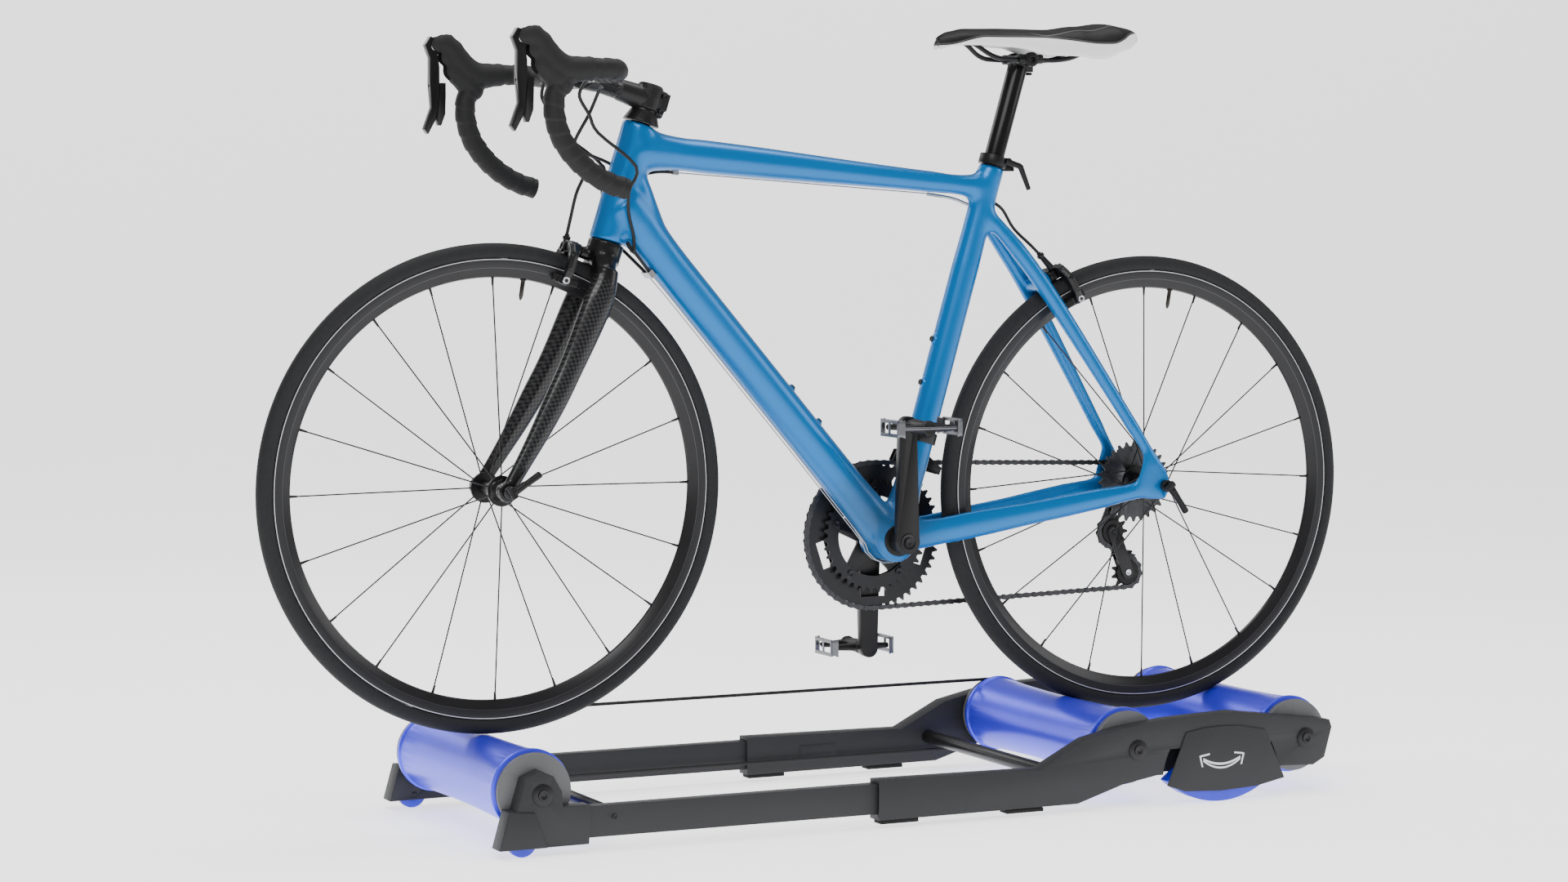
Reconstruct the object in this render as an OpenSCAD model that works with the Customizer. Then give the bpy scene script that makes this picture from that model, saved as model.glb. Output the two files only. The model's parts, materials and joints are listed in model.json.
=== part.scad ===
// Road bicycle standing on floating training rollers.
// +Z up, the bicycle faces -X, its drive side is +Y. Origin: on the floor, midway
// between the two wheel axles, on the bicycle's centre plane. Millimetres.

/* [Wheels] */
// Outside diameter of the tyres
tyre_d = 668; // [560:1:800]
// Width of the tyres
tyre_w = 25; // [20:0.5:32]
// Distance between the wheel axles
wheelbase = 1020; // [960:1:1230]
// Radial depth of the rims
rim_depth = 26; // [14:1:50]
// Spokes in each wheel
spokes = 20; // [12:2:36]
// Diameter of the wheel axles
axle_d = 9; // [8:0.5:12]

/* [Frame] */
// Length of the head tube
head_len = 170; // [110:1:205]
// Lean of the steering axis from vertical
lean = 17.5; // [15:0.1:20]
// Fork rake, the axle's offset ahead of the steering axis
rake = 59; // [40:1:65]
// Diameter of the steerer tube
steerer_d = 28.6; // [25.4:0.1:35]
// Length of the seat tube from the crank axis to its top
seat_tube_len = 553; // [460:1:664]
// Diameter of the seatpost
post_d = 28.6; // [25:0.1:34]
// Height of the saddle rails above the seat tube's top
post_out = 160; // [110:1:200]

/* [Drive] */
// Teeth on the outer chainring
ring_teeth = 52; // [44:1:54]
// Teeth on the cog that carries the chain
cog_teeth = 13; // [11:1:14]
// Pitch of the chain
pitch = 12.7;
// Sideways place of the chain from the centre plane
chain_y = 48; // [44:0.5:50]
// Crank length
crank_len = 165; // [150:2.5:180]
// Diameter of the crank spindle
spindle_d = 24; // [20:1:30]

/* [Handlebar] */
// Length of the stem
stem_len = 110; // [70:5:130]
// Half of the handlebar's width at the drops
bar_half = 167; // [150:1:200]
// Diameter of the handlebar
bar_d = 24; // [22:0.2:26]
// Thickness of the bar tape
tape_t = 3; // [2:0.5:4]

/* [Rollers] */
// Diameter of a drum at its middle
drum_d = 98; // [80:1:118]
// Height of the drum axles above the floor
drum_z = 82; // [76:1:92]
// How far the front drum sits ahead of the front axle
drum_lead = 20; // [5:1:40]
// Distance between the two rear drums
drum_span = 280; // [230:1:300]
// Half of the length of a drum
drum_half = 199; // [180:1:220]
// Diameter of the drum axles
drum_axle_d = 12; // [10:1:16]
// Thickness of the roller's side walls
wall = 30.8; // [26:0.1:38]

/* [Fits] */
// Radial running clearance of shafts in bores
fit = 0.06; // [0.02:0.01:0.1]
// Gap between bodies that move past each other
gap = 0.5; // [0.3:0.1:1]

/* [Hidden] */
$fn = 48;
Rt = tyre_d/2;
tr = tyre_w/2;
Rs = Rt - tr;                     // tyre section centre
Rrim = Rs - tr*0.68;              // rim's outer radius
Rin = Rrim - rim_depth;           // rim's inner radius
rd = drum_d/2;
xf = -wheelbase/2;
xr = wheelbase/2;
zf = drum_z + Rt + rd + 0.12;
zr = drum_z + sqrt(pow(Rt + rd + 0.3, 2) - pow(drum_span/2, 2));
x1 = xf - drum_lead;              // front drum axle
x2 = xr - drum_span/2;            // middle drum axle
x3 = xr + drum_span/2;            // rear drum axle
yi = drum_half + 2;               // inner face of the side walls
yo = yi + wall;                   // outer face of the covers
// bicycle
u = [sin(lean), cos(lean)];       // up the steering axis, in x-z
w = [-cos(lean), sin(lean)];      // forward, square to it
fork_len = Rt + 35;
hb = [xf + fork_len*u[0] - rake*w[0], zf + fork_len*u[1] - rake*w[1]];
function hs(s, a) = [hb[0] + s*u[0] + a*w[0], hb[1] + s*u[1] + a*w[1]];
bb = [xr - Rt - 87, zr - 65];
stx = bb[0] + 11;
seat_lean = 16.4;
function st(s, a) = [stx + s*sin(seat_lean) + a*cos(seat_lean), bb[1] + s*cos(seat_lean) - a*sin(seat_lean)];
shell_half = 34;
rst = steerer_d/2;
rp = post_d/2;
rax = axle_d/2;
rb = bar_d/2;
rtape = rb + tape_t;
over = 66;                        // outer face of the dropouts from the centre
stem_s = head_len + 34;
bc = [hs(stem_s, stem_len)[0], hs(stem_s, stem_len)[1]];
rr_ring = pitch/2/sin(180/ring_teeth);
rr_cog = pitch/2/sin(180/cog_teeth);
rr_jockey = pitch/2/sin(180/11);
guide = [xr - 22.6, zr - 75.5];
tension = [xr + 2.4, zr - 137];
stay_a = 30.9;                    // lean of the seat stays, backwards
spindle_r = spindle_d/2;

function unit(v) = v/norm(v);
// rod between two points
module rod(p, q, r1, r2) {
  d = q - p; L = norm(d);
  translate(p) rotate([0, acos(d[2]/L), atan2(d[1], d[0])]) cylinder(h = L, r1 = r1, r2 = r2);
}
module ball(p, r) translate(p) sphere(r = r);
module ycyl(x, z, ya, yb, r) translate([x, ya, z]) rotate([-90, 0, 0]) cylinder(h = yb - ya, r = r);
// flat outline in x-z, from ya to yb
module plate(ya, yb) translate([0, yb, 0]) rotate([90, 0, 0]) linear_extrude(yb - ya) children();
module both() { children(); mirror([0, 1, 0]) children(); }
module box(a, b) translate(a) cube(b - a);
// smooth curve through the points p, n steps for each span
function cr(a, b, c, d, t) = 0.5*((2*b) + (c - a)*t + (2*a - 5*b + 4*c - d)*t*t + (3*b - a - 3*c + d)*t*t*t);
function curve(p, n) = let (m = len(p)) concat([for (i = [0:m - 2], k = [0:n - 1])
  cr(p[max(i - 1, 0)], p[i], p[i + 1], p[min(i + 2, m - 1)], k/n)], [p[m - 1]]);
function tang(p, i) = unit(p[min(i + 1, len(p) - 1)] - p[max(i - 1, 0)]);
function frames(p, n0) = [for (i = 0, n = unit(n0 - (n0*tang(p, 0))*tang(p, 0)); i < len(p);
  i = i + 1, n = i < len(p) ? unit(n - (n*tang(p, i))*tang(p, i)) : n) n];
function ring(p, i, n, r, m) = let (b = cross(tang(p, i), n)) [for (k = [0:m - 1]) p[i] + r*cos(360*k/m)*n + r*sin(360*k/m)*b];
// round cord of radius r along p, m sides
module cord(p, r, m, n0) {
  f = frames(p, n0); L = len(p);
  pts = [for (i = [0:L - 1]) each ring(p, i, f[i], r, m)];
  polyhedron(points = pts, faces = concat([[for (k = [0:m - 1]) k]],
    [for (i = [0:L - 2], k = [0:m - 1]) [i*m + k, (i + 1)*m + k, (i + 1)*m + (k + 1)%m, i*m + (k + 1)%m]],
    [[for (k = [m - 1:-1:0]) (L - 1)*m + k]]), convexity = 8);
}
// sleeve round p between radii ri and ro
module sleeve(p, ri, ro, m, n0) {
  f = frames(p, n0); L = len(p); N = L*m;
  pts = concat([for (i = [0:L - 1]) each ring(p, i, f[i], ro, m)], [for (i = [0:L - 1]) each ring(p, i, f[i], ri, m)]);
  polyhedron(points = pts, faces = concat(
    [for (k = [0:m - 1]) [k, (k + 1)%m, N + (k + 1)%m, N + k]],
    [for (i = [0:L - 2], k = [0:m - 1]) [i*m + k, (i + 1)*m + k, (i + 1)*m + (k + 1)%m, i*m + (k + 1)%m]],
    [for (i = [0:L - 2], k = [0:m - 1]) [N + i*m + k, N + i*m + (k + 1)%m, N + (i + 1)*m + (k + 1)%m, N + (i + 1)*m + k]],
    [for (k = [0:m - 1]) [(L - 1)*m + (k + 1)%m, (L - 1)*m + k, N + (L - 1)*m + k, N + (L - 1)*m + (k + 1)%m]]), convexity = 8);
}
// closed loop round circles [x, z, r], r > 0 anticlockwise; h moves it right
function th(c, i, j) = let (d = [c[j][0] - c[i][0], c[j][1] - c[i][1]])
  atan2(d[1], d[0]) - asin((c[j][2] - c[i][2])/norm(d));
function wrap(d) = ((d % 360) + 360) % 360;
function loop(c, h) = let (m = len(c)) [for (i = [0:m - 1]) let (a = th(c, (i + m - 1)%m, i), b = th(c, i, (i + 1)%m),
  d = c[i][2] > 0 ? wrap(b - a) : -wrap(a - b), n = ceil(abs(d)/9))
  for (k = [0:n]) let (t = a + d*k/n) [c[i][0] + (c[i][2] + h)*sin(t), c[i][1] - (c[i][2] + h)*cos(t)]];
module belt_ring(c, h) difference() { polygon(loop(c, h)); polygon(loop(c, -h)); }
chain_c = [[bb[0], bb[1], -rr_ring], [xr, zr, -rr_cog], [guide[0], guide[1], rr_jockey], [tension[0], tension[1], -rr_jockey]];
belt_c = [[x1, drum_z, rd + 1.7], [x2, drum_z, rd + 1.7]];
// toothed disc about the origin
module toothed(n) {
  r = pitch/2/sin(180/n);
  polygon([for (i = [0:n - 1]) for (q = [[-0.34, -3.6], [-0.1, 3.2], [0.1, 3.2], [0.34, -3.6]])
    [(r + q[1])*cos(360*(i + q[0])/n), (r + q[1])*sin(360*(i + q[0])/n)]]);
}
module at_xz(c) translate([c[0], c[1]]) children();
module steer() translate([hb[0], 0, hb[1]]) rotate([0, lean, 0]) children();
pad_r = Rt - 34;
front_bolt = sqrt(pow(pad_r, 2) - 169) + 45;
rear_bolt = sqrt(pow(pad_r, 2) - 841) + 45;
// brake frames: x away from the fork or stays, z up
module front_brake_at() translate([xf, 0, zf]) rotate([0, lean, 0]) rotate([0, 0, 180]) translate([-13, 0, front_bolt]) children();
module rear_brake_at() translate([xr, 0, zr]) rotate([0, -stay_a, 0]) translate([29, 0, rear_bolt]) children();
module brake_arm(s, xa, xb) difference() {
  union() {
    translate([xa, 0, 0]) rotate([90, 0, 90]) linear_extrude(xb - xa) union() {
      circle(r = 10);
      polygon([[0, 10], [s*20, 9], [s*35, -8], [s*35, -32], [s*27, -52], [s*16, -52], [s*16, -41], [s*22, -36], [s*24, -20], [s*18, -6], [0, -9]]);
    }
    box([-22, min(s*12.4, s*18), -50], [22, max(s*12.4, s*18), -40]);
    box([-16, min(s*16, s*21), -51], [16, max(s*16, s*21), -41]);
  }
  translate([xa - 1, 0, 0]) rotate([0, 90, 0]) cylinder(h = xb - xa + 2, r = 4 + fit);
}
bar_rel = [[0, 0], [-2, 1], [-9, 2], [-19, 3], [-44, 3], [-69, -1], [-86, -12], [-97, -29], [-99, -54], [-91, -84], [-76, -107], [-58, -125], [-38, -139], [-17, -149], [4, -155]];
function bar_y(i) = bar_half*[0.78, 0.9, 0.97, 1, 1, 1, 1, 1, 1, 1, 1, 1, 1, 1, 1][i];
bar_side = [for (i = [0:len(bar_rel) - 1]) [bc[0] + bar_rel[i][0], bar_y(i), bc[1] + bar_rel[i][1]]];
bar_pts = concat([for (i = [len(bar_side) - 1:-1:0]) [bar_side[i][0], -bar_side[i][1], bar_side[i][2]]], [[bc[0], 0, bc[1]]], bar_side);
bar_curve = curve(bar_pts, 2);
tape_pts = curve(concat([[bc[0], 0.5*bar_half, bc[1]]], bar_side), 2);
lever_pivot = [bc[0] - 145, bc[1] + 41];
module spoked(flange_y, flange_r, cross_a) {
  for (i = [0:spokes - 1]) let (s = i % 2 == 0 ? 1 : -1, a = 360*i/spokes, k = cross_a*(floor(i/2) % 2 == 0 ? 1 : -1))
    rod([flange_r*cos(a + k), s*flange_y, flange_r*sin(a + k)], [(Rin - 0.2)*cos(a), s*1.5, (Rin - 0.2)*sin(a)], 1, 1);
}
module wheel_rim() rotate([90, 0, 0]) rotate_extrude($fn = 96)
  polygon([[Rin, -3.5], [Rin, 3.5], [Rin + rim_depth/2, tr*0.78], [Rrim, tr*0.78], [Rrim, -tr*0.78], [Rin + rim_depth/2, -tr*0.78]]);
module wheel_tyre() rotate([90, 0, 0]) rotate_extrude($fn = 96)
  intersection() { translate([Rs, 0]) circle(r = tr); translate([Rrim, -tr]) square([2*tr, 2*tr]); }
module drum(x) translate([x, 0, drum_z]) {
  rotate([90, 0, 0]) rotate_extrude() polygon([[rd - 4, -186], [rd - 4, 186], [rd + 6.5, 186], [rd + 6.5, 180], [rd + 4, 178],
      [rd + 1.6, 120], [rd + 0.4, 60], [rd, 20], [rd, -20], [rd + 0.4, -60], [rd + 1.6, -120], [rd + 4, -178], [rd + 6.5, -180], [rd + 6.5, -186]]);
  both() difference() {
    union() { ycyl(0, 0, 170, 186, rd - 4); ycyl(0, 0, 186, drum_half - 4, rd - 1); ycyl(0, 0, drum_half - 4, drum_half, rd + 3); }
    ycyl(0, 0, 169, drum_half + 1, drum_axle_d/2 + fit);
  }
}

// ---- roller base ----
rk = [xr - 3, 34];                // rocker wheel pivot
rocker_top = 80;                  // roof of the pocket each rocker wheel sits in
sx = bb[0] - 127.5;               // mouth of the sleeves
module side_frame() difference() {
  plate(yi, yo - 2.5) polygon([[sx, 67], [x2 - 155, 64.5], [x2 - 82, 101.4], [x2 - 25, 113.8], [x2 + 54, 122.5], [rk[0] + 24, 126.5], [x3 + 40, 106],
    [x3 + 44, 95], [x3 + 32, 52], [x3 + 13, 41.8], [rk[0] + 106, 44], [rk[0] - 106, 44], [x2 - 25, 34.5], [x2 - 97, 12.6], [sx, 11.6]]);
  box([sx - 1, yi + 4 - gap, 20 - gap], [x2 - 88, yo - 5 + gap - 2.5, 61.5 + gap]);
  ycyl(x2, drum_z, yi - 1, yo, drum_axle_d/2);
  ycyl(x3, drum_z, yi - 1, yo, drum_axle_d/2);
  intersection() { ycyl(rk[0], rk[1], yi + 5, yo, 96); box([rk[0] - 97, yi, 0], [rk[0] + 97, yo + 1, rocker_top]); }
}
module side_frames() color("#34373b") both() side_frame();
module base_rods() color("#8d9196") {
  for (x = [x2, x3]) { ycyl(x, drum_z, -yo + 2.5, yo - 2.5, drum_axle_d/2); both() ycyl(x, drum_z, yo - 2.5, yo - 0.5, 10); }
  for (x = [x2 - 110, xr]) ycyl(x, x < x2 ? 50 : 62, -yi, yi, 10);
}
module rocker_covers() color("#2b2d30") both() {
  plate(yo - 2.5, yo) polygon([[rk[0] - 90, 28], [rk[0] - 59, 102], [rk[0] - 30, 107], [rk[0], 108.5], [rk[0] + 30, 107], [rk[0] + 73, 99], [rk[0] + 106, 27], [rk[0] + 60, 18], [rk[0], 15], [rk[0] - 60, 18]]);
  ycyl(rk[0], rk[1], yi + 5, yo - 2.5, 5);
}
module grip_pads() color("#232323") both() for (x = [sx + 4, sx + 200]) box([x, yi + 4, 5.8], [x + 58, yo - 5, 11.3]);
// ---- roller nose ----
fwx = x1 - 25;                    // foot wheel axle
fwr = 20;
module nose_frame() difference() {
  union() {
    plate(yi, yo - 2.5) polygon([[x1 - 61, 12.2], [x1 - 47, 62], [x1 - 36, 62], [x1 - 23, 104], [x1, 113], [x1 + 15, 106], [x1 + 27, 85], [x1 + 28, 64], [x1 + 68, 64], [x1 + 65, 12.7]]);
    box([x1 + 60, yi + 4, 20], [sx + 138, yo - 7.5, 61.5]);
  }
  ycyl(x1, drum_z, yi - 1, yo, drum_axle_d/2);
  ycyl(fwx, fwr, yi + 5.5, yi + 21.5, fwr + 1.5);
  ycyl(fwx, fwr, yi - 1, yo, 4);
}
module nose_frames() color("#34373b") both() nose_frame();
module nose_rods() color("#8d9196") {
  ycyl(x1, drum_z, -yo + 2.5, yo - 2.5, drum_axle_d/2);
  both() ycyl(x1, drum_z, yo - 2.5, yo - 0.5, 10);
  ycyl(x1 + 100, 50, -yi - 4, yi + 4, 9);
  both() ycyl(fwx, fwr, yi, yo - 2.5, 4);
}
module nose_covers() color("#2b2d30") both() plate(yo - 2.5, yo)
  polygon([[x1 - 61, 12.2], [x1 - 47, 62], [x1 - 12, 60], [x1 + 6, 12.2]]);
module foot_wheel(s) difference() {
  ycyl(fwx, fwr, min(s*(yi + 7), s*(yi + 20)), max(s*(yi + 7), s*(yi + 20)), fwr);
  ycyl(fwx, fwr, -yo, yo, 4 + fit);
}
module foot_wheel_left() color("#2b62c4") foot_wheel(-1);
module foot_wheel_right() color("#2b62c4") foot_wheel(1);
module rocker_wheel(s) difference() {
  intersection() {
    ycyl(rk[0], 130, min(s*(yi + 6), s*(yo - 3.2)), max(s*(yi + 6), s*(yo - 3.2)), 130);
    ycyl(rk[0], -62, min(s*(yi + 6), s*(yo - 3.2)), max(s*(yi + 6), s*(yo - 3.2)), 130);
  }
  ycyl(rk[0], rk[1], -yo, yo, 5 + fit);
}
module rocker_wheel_left() color("#2b62c4") rocker_wheel(-1);
module rocker_wheel_right() color("#2b62c4") rocker_wheel(1);
module front_drum() color("#2352b8") drum(x1);
module middle_drum() color("#2352b8") drum(x2);
module rear_drum() color("#2352b8") drum(x3);
module drive_belt() color("#1d1d1f") plate(188, 193) belt_ring(belt_c, 2.2);
// ---- frame ----
tt_a = hs(head_len - 37, 0);
tt_b = st(seat_tube_len - 33, 0);
dt_a = hs(58, 0);
seat_top = st(seat_tube_len, 0);
function xz3(p, y) = [p[0], y, p[1]];
boss_s = [225, 289];              // bottle bosses, up the seat tube
dt_dir = unit([dt_a[0] - bb[0], dt_a[1] - bb[1]]);
dt_len = norm([dt_a[0] - bb[0], dt_a[1] - bb[1]]);
dt_r = 26.5;                      // down tube
dt_n = [-dt_dir[1], dt_dir[0]];   // towards the floor side of the down tube
function dt(s, a) = [bb[0] + s*dt_dir[0] + a*dt_n[0], bb[1] + s*dt_dir[1] + a*dt_n[1]];
module front_triangle() color("#0a74c8") difference() {
  union() {
    rod(xz3(hs(0, 0), 0), xz3(hs(head_len, 0), 0), 25, 25);
    rod(xz3(tt_a, 0), xz3(tt_b, 0), 22.5, 13);
    rod(xz3(dt_a, 0), [bb[0], 0, bb[1]], dt_r, dt_r);
    rod([stx, 0, bb[1]], xz3(seat_top, 0), 19.5, 19.5);
    ycyl(bb[0], bb[1], -shell_half, shell_half, 32);
    ycyl(bb[0], bb[1], -40, 40, 21);
    for (s = boss_s) rod(xz3(st(s, 0), 0), xz3(st(s, -22), 0), 6, 6);
    for (s = [200, 264]) rod(xz3(dt(s, 0), 0), xz3(dt(s, -dt_r - 3), 0), 6, 6);
  }
  rod(xz3(hs(-1, 0), 0), xz3(hs(head_len + 1, 0), 0), rst + fit, rst + fit);
  rod(xz3(st(seat_tube_len - 200, 0), 0), xz3(st(seat_tube_len + 1, 0), 0), rp + fit, rp + fit);
  rod(xz3(dt(dt_len - 60, 0), 0), xz3(dt(45, 0), 0), dt_r - 2, dt_r - 2);
  rod(xz3(tt_a, 0) + [35, 0, -4.4], xz3(tt_b, 0) + [-30, 0, 3.2], 20, 11);
  ycyl(bb[0], bb[1], -41, 41, spindle_r + fit);
  for (s = boss_s) rod(xz3(st(s, -10), 0), xz3(st(s, -23), 0), 2.5, 2.5);
  for (s = [200, 264]) rod(xz3(dt(s, 5 - dt_r), 0), xz3(dt(s, -dt_r - 4), 0), 2.5, 2.5);
}
stay_top = st(seat_tube_len - 73, 12);
module rear_triangle() color("#0a74c8") difference() {
  union() {
    both() intersection() {
      translate([0, 0, bb[1] - 60]) linear_extrude(180) polygon([[bb[0] + 20, 15], [bb[0] + 112, 18.5], [xr - 40, 48], [xr - 30, 60.5], [xr - 10, 60.5], [xr - 10, over], [xr - 44, over], [bb[0] + 112, 33], [bb[0] + 20, 32]]);
      plate(0, 80) polygon([[bb[0] + 10, bb[1] + 26], [bb[0] + 152, bb[1] + 38], [xr - 41, zr + 8.5], [xr - 8, zr + 10], [xr - 8, zr - 19], [xr - 41, zr - 20], [bb[0] + 152, bb[1] + 2], [bb[0] + 10, bb[1] - 22]]);
    }
    both() rod(xz3(stay_top, 13), [xr - 10, 61.5, zr + 32], 9, 7);
    both() plate(60.5, over) polygon([[xr - 36, zr + 46], [xr - 12, zr + 47], [xr + 5, zr + 25], [xr + 14, zr + 1], [xr + 7, zr - 13], [xr + 3, zr - 21], [xr - 20, zr - 23], [xr - 40, zr - 14], [xr - 47, zr + 9]]);
    plate(60.5, over) polygon([[xr - 6, zr - 12], [xr + 10, zr - 12], [xr + 10, zr - 36], [xr - 8, zr - 36]]);
    translate([xr, 0, zr]) rotate([0, -stay_a, 0]) { translate([-16, -27, rear_bolt - 7]) cube([26, 54, 14]); translate([0, 0, rear_bolt]) rotate([0, 90, 0]) { cylinder(h = 42, r = 4); cylinder(h = 17, r = 9); translate([0, 0, 40.8]) cylinder(h = 5, r = 8); } }
  }
  rod([stx, 0, bb[1]], xz3(seat_top, 0), 19.6, 19.6);
  ycyl(bb[0], bb[1], -41, 41, 32.1);
  both() ycyl(xr, zr, 50, over + 1, rax);
  ycyl(xr + 1, zr - 27, 50, over + 1, 5 + fit);
}
module seat_clamp() color("#1c1c1e") difference() {
  union() {
    rod(xz3(st(seat_tube_len + 0.2, 0), 0), xz3(st(seat_tube_len + 14, 0), 0), 20.5, 20.5);
    box([seat_top[0] + 14, -8, seat_top[1] - 8], [seat_top[0] + 32, 8, seat_top[1] + 6]);
  }
  rod(xz3(st(seat_tube_len - 6, 0), 0), xz3(st(seat_tube_len + 16, 0), 0), rp + fit, rp + fit);
  rod(xz3(st(seat_tube_len - 46, 0), 0), xz3(st(seat_tube_len + 0.2, 0), 0), 19.6, 19.6);
  box([seat_top[0] + 16, -1, seat_top[1] - 12], [seat_top[0] + 40, 1, seat_top[1] + 30]);
}
module seatpost() color("#1c1c1e") difference() {
  union() {
    rod(xz3(st(seat_tube_len - 130, 0), 0), xz3(st(seat_tube_len + post_out - 12, 0), 0), rp, rp);
    both() translate([rail_c[0], 22, rail_c[1]]) rotate([0, 90, 0]) translate([0, 0, -19]) cylinder(h = 38, r = 7);
    box([rail_c[0] - 17, -22, rail_c[1] - 5], [rail_c[0] + 17, 22, rail_c[1] + 5]);
    box([rail_c[0] - 14, -11, rail_c[1] - 18], [rail_c[0] + 12, 11, rail_c[1]]);
  }
  both() translate([rail_c[0] - 21, 22, rail_c[1]]) rotate([0, 90, 0]) cylinder(h = 42, r = 3.5 + fit);
}
rail_c = [st(seat_tube_len + post_out, 0)[0] + 4, st(seat_tube_len + post_out, 0)[1] - 1];
sd = [rail_c[0], rail_c[1] + 24]; // underside of the saddle shell
module saddle() color("#19191b") union() {
  hull() {
    translate([sd[0] - 130, 0, sd[1] - 2]) sphere(r = 12, $fn = 20);
    translate([sd[0] - 70, -18, sd[1] + 8]) sphere(r = 10, $fn = 20);
    translate([sd[0] - 70, 18, sd[1] + 8]) sphere(r = 10, $fn = 20);
    translate([sd[0] + 90, -52, sd[1] + 16]) sphere(r = 14, $fn = 20);
    translate([sd[0] + 90, 52, sd[1] + 16]) sphere(r = 14, $fn = 20);
    translate([sd[0] + 158, -30, sd[1] + 10]) sphere(r = 12, $fn = 20);
    translate([sd[0] + 158, 30, sd[1] + 10]) sphere(r = 12, $fn = 20);
  }
  both() {
    rod([rail_c[0] - 43, 22, rail_c[1]], [rail_c[0] + 63, 22, rail_c[1]], 3.5, 3.5);
    rod([rail_c[0] - 42, 22, rail_c[1]], [rail_c[0] - 125, 6, sd[1] + 2], 3.4, 3.4);
    rod([rail_c[0] + 62, 22, rail_c[1]], [rail_c[0] + 115, 30, sd[1] + 10], 3.4, 3.4);
  }
}
// ---- steering ----
module fork() color("#161618") steer() difference() {
  union() {
    translate([0, 0, -1]) cylinder(h = head_len + 52, r = rst);
    translate([0, 0, -30]) cylinder(h = 30 - gap, r = 25);
    both() { rod([0, 20, -16], [0, 33, -60], 15, 14); ball([0, 33, -60], 14.6); rod([0, 33, -60], [-rake, 53.5, -fork_len], 14, 9.5); }
    translate([-rake, 0, -fork_len]) both() ycyl(0, 0, 47, 60, 15);
    translate([-rake + 13, 0, -fork_len + front_bolt]) rotate([0, -90, 0]) { translate([0, 0, -45]) cylinder(h = 58, r = 4); translate([0, 0, -32]) cylinder(h = 20.4, r = 9); translate([0, 0, 11.8]) cylinder(h = 4, r = 8); }
  }
  translate([-rake, 0, -fork_len]) both() { ycyl(0, 0, 40, 61, rax + 0.05); ycyl(0, 0, 30, 47, 16); ycyl(0, 0, 60, 80, 12); }
}
module headset() color("#1c1c1e") steer() difference() {
  union() { translate([0, 0, head_len + gap]) cylinder(h = 16, r1 = 26, r2 = 19); translate([0, 0, head_len + gap]) cylinder(h = 19.2, r = 18); }
  translate([0, 0, head_len]) cylinder(h = 30, r = rst + 0.05);
}
module stem() color("#1c1c1e") steer() difference() {
  union() {
    translate([0, 0, head_len + 20.5]) cylinder(h = 31.5, r = 18.5);
    translate([0, 0, stem_s]) rotate([0, -90, 0]) cylinder(h = stem_len, r = 14);
    translate([-stem_len, 0, stem_s]) ycyl(0, 0, -22, 22, 20);
    translate([14, -11, head_len + 25]) cube([14, 22, 24]);
  }
  translate([0, 0, head_len + 10]) cylinder(h = 41, r = rst + 0.05);
  translate([-stem_len, 0, stem_s]) ycyl(0, 0, -23, 23, rb + 0.05);
}
module handlebar() color("#202022") union() {
  cord(bar_curve, rb - 0.1, 12, [0, 0, 1]);
  ycyl(bc[0], bc[1], -60, 60, rb);
}
module bar_tape() color("#151516") both() {
  sleeve(tape_pts, rb + 0.1, rtape, 12, [0, 0, 1]);
}
function bar_at(x, z) = [bc[0] + x, bar_half, bc[1] + z];
module hood_outline() at_xz(bc) polygon([[-152, 55], [-133, 60], [-115, 50], [-102, 33], [-81, 19], [-53, 15], [-70, -14], [-92, -28], [-104, -27], [-124, -8], [-129, 15], [-137, 33], [-151, 40]]);
module brake_hoods() color("#1d1d1f") both() { lever_pin(); difference() {
  plate(bar_half - 18.5, bar_half + 18.5) hood_outline();
  rod(bar_at(-30, 4), bar_at(-76, -2), rtape + 1, rtape + 1);
  rod(bar_at(-60, 3), bar_at(-92, -19), rtape + 1, rtape + 1);
  rod(bar_at(-82, -7), bar_at(-103, -45), rtape + 1, rtape + 1);
  box([bc[0] - 160, bar_half - 7, bc[1] - 12], [bc[0] - 117, bar_half + 7, bc[1] + 62]);
} }
module brake_lever(s) difference() {
  plate(s*bar_half - 6, s*bar_half + 6) at_xz(bc) polygon([[-151, 55], [-159, 43], [-152, 25], [-152.5, -12], [-150, -43], [-161, -73], [-155.5, -80], [-145, -61], [-142, -48], [-138.5, -14], [-138.5, 13], [-141, 30], [-135, 38], [-135, 48]]);
  ycyl(lever_pivot[0], lever_pivot[1], -400, 400, 2.5 + fit);
  translate([bc[0] - 170, s*bar_half, bc[1] - 13]) rotate([0, 90, 0]) cylinder(h = 60, r = 2 + fit);
}
module lever_pin() ycyl(lever_pivot[0], lever_pivot[1], bar_half - 17, bar_half + 17, 2.5);
module brake_lever_left() color("#202022") brake_lever(-1);
module brake_lever_right() color("#202022") brake_lever(1);
module shift_paddle(s) {
  plate(s*bar_half - 5, s*bar_half + 5) at_xz(bc) polygon([[-137.5, -9], [-137.5, -18], [-141, -45], [-143, -58], [-140, -68], [-136, -68], [-130, -52], [-129, -27], [-129, -9]]);
  translate([bc[0] - 149, s*bar_half, bc[1] - 13]) rotate([0, 90, 0]) cylinder(h = 14, r = 2);
}
module shift_paddle_left() color("#27272a") shift_paddle(-1);
module shift_paddle_right() color("#27272a") shift_paddle(1);
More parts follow.
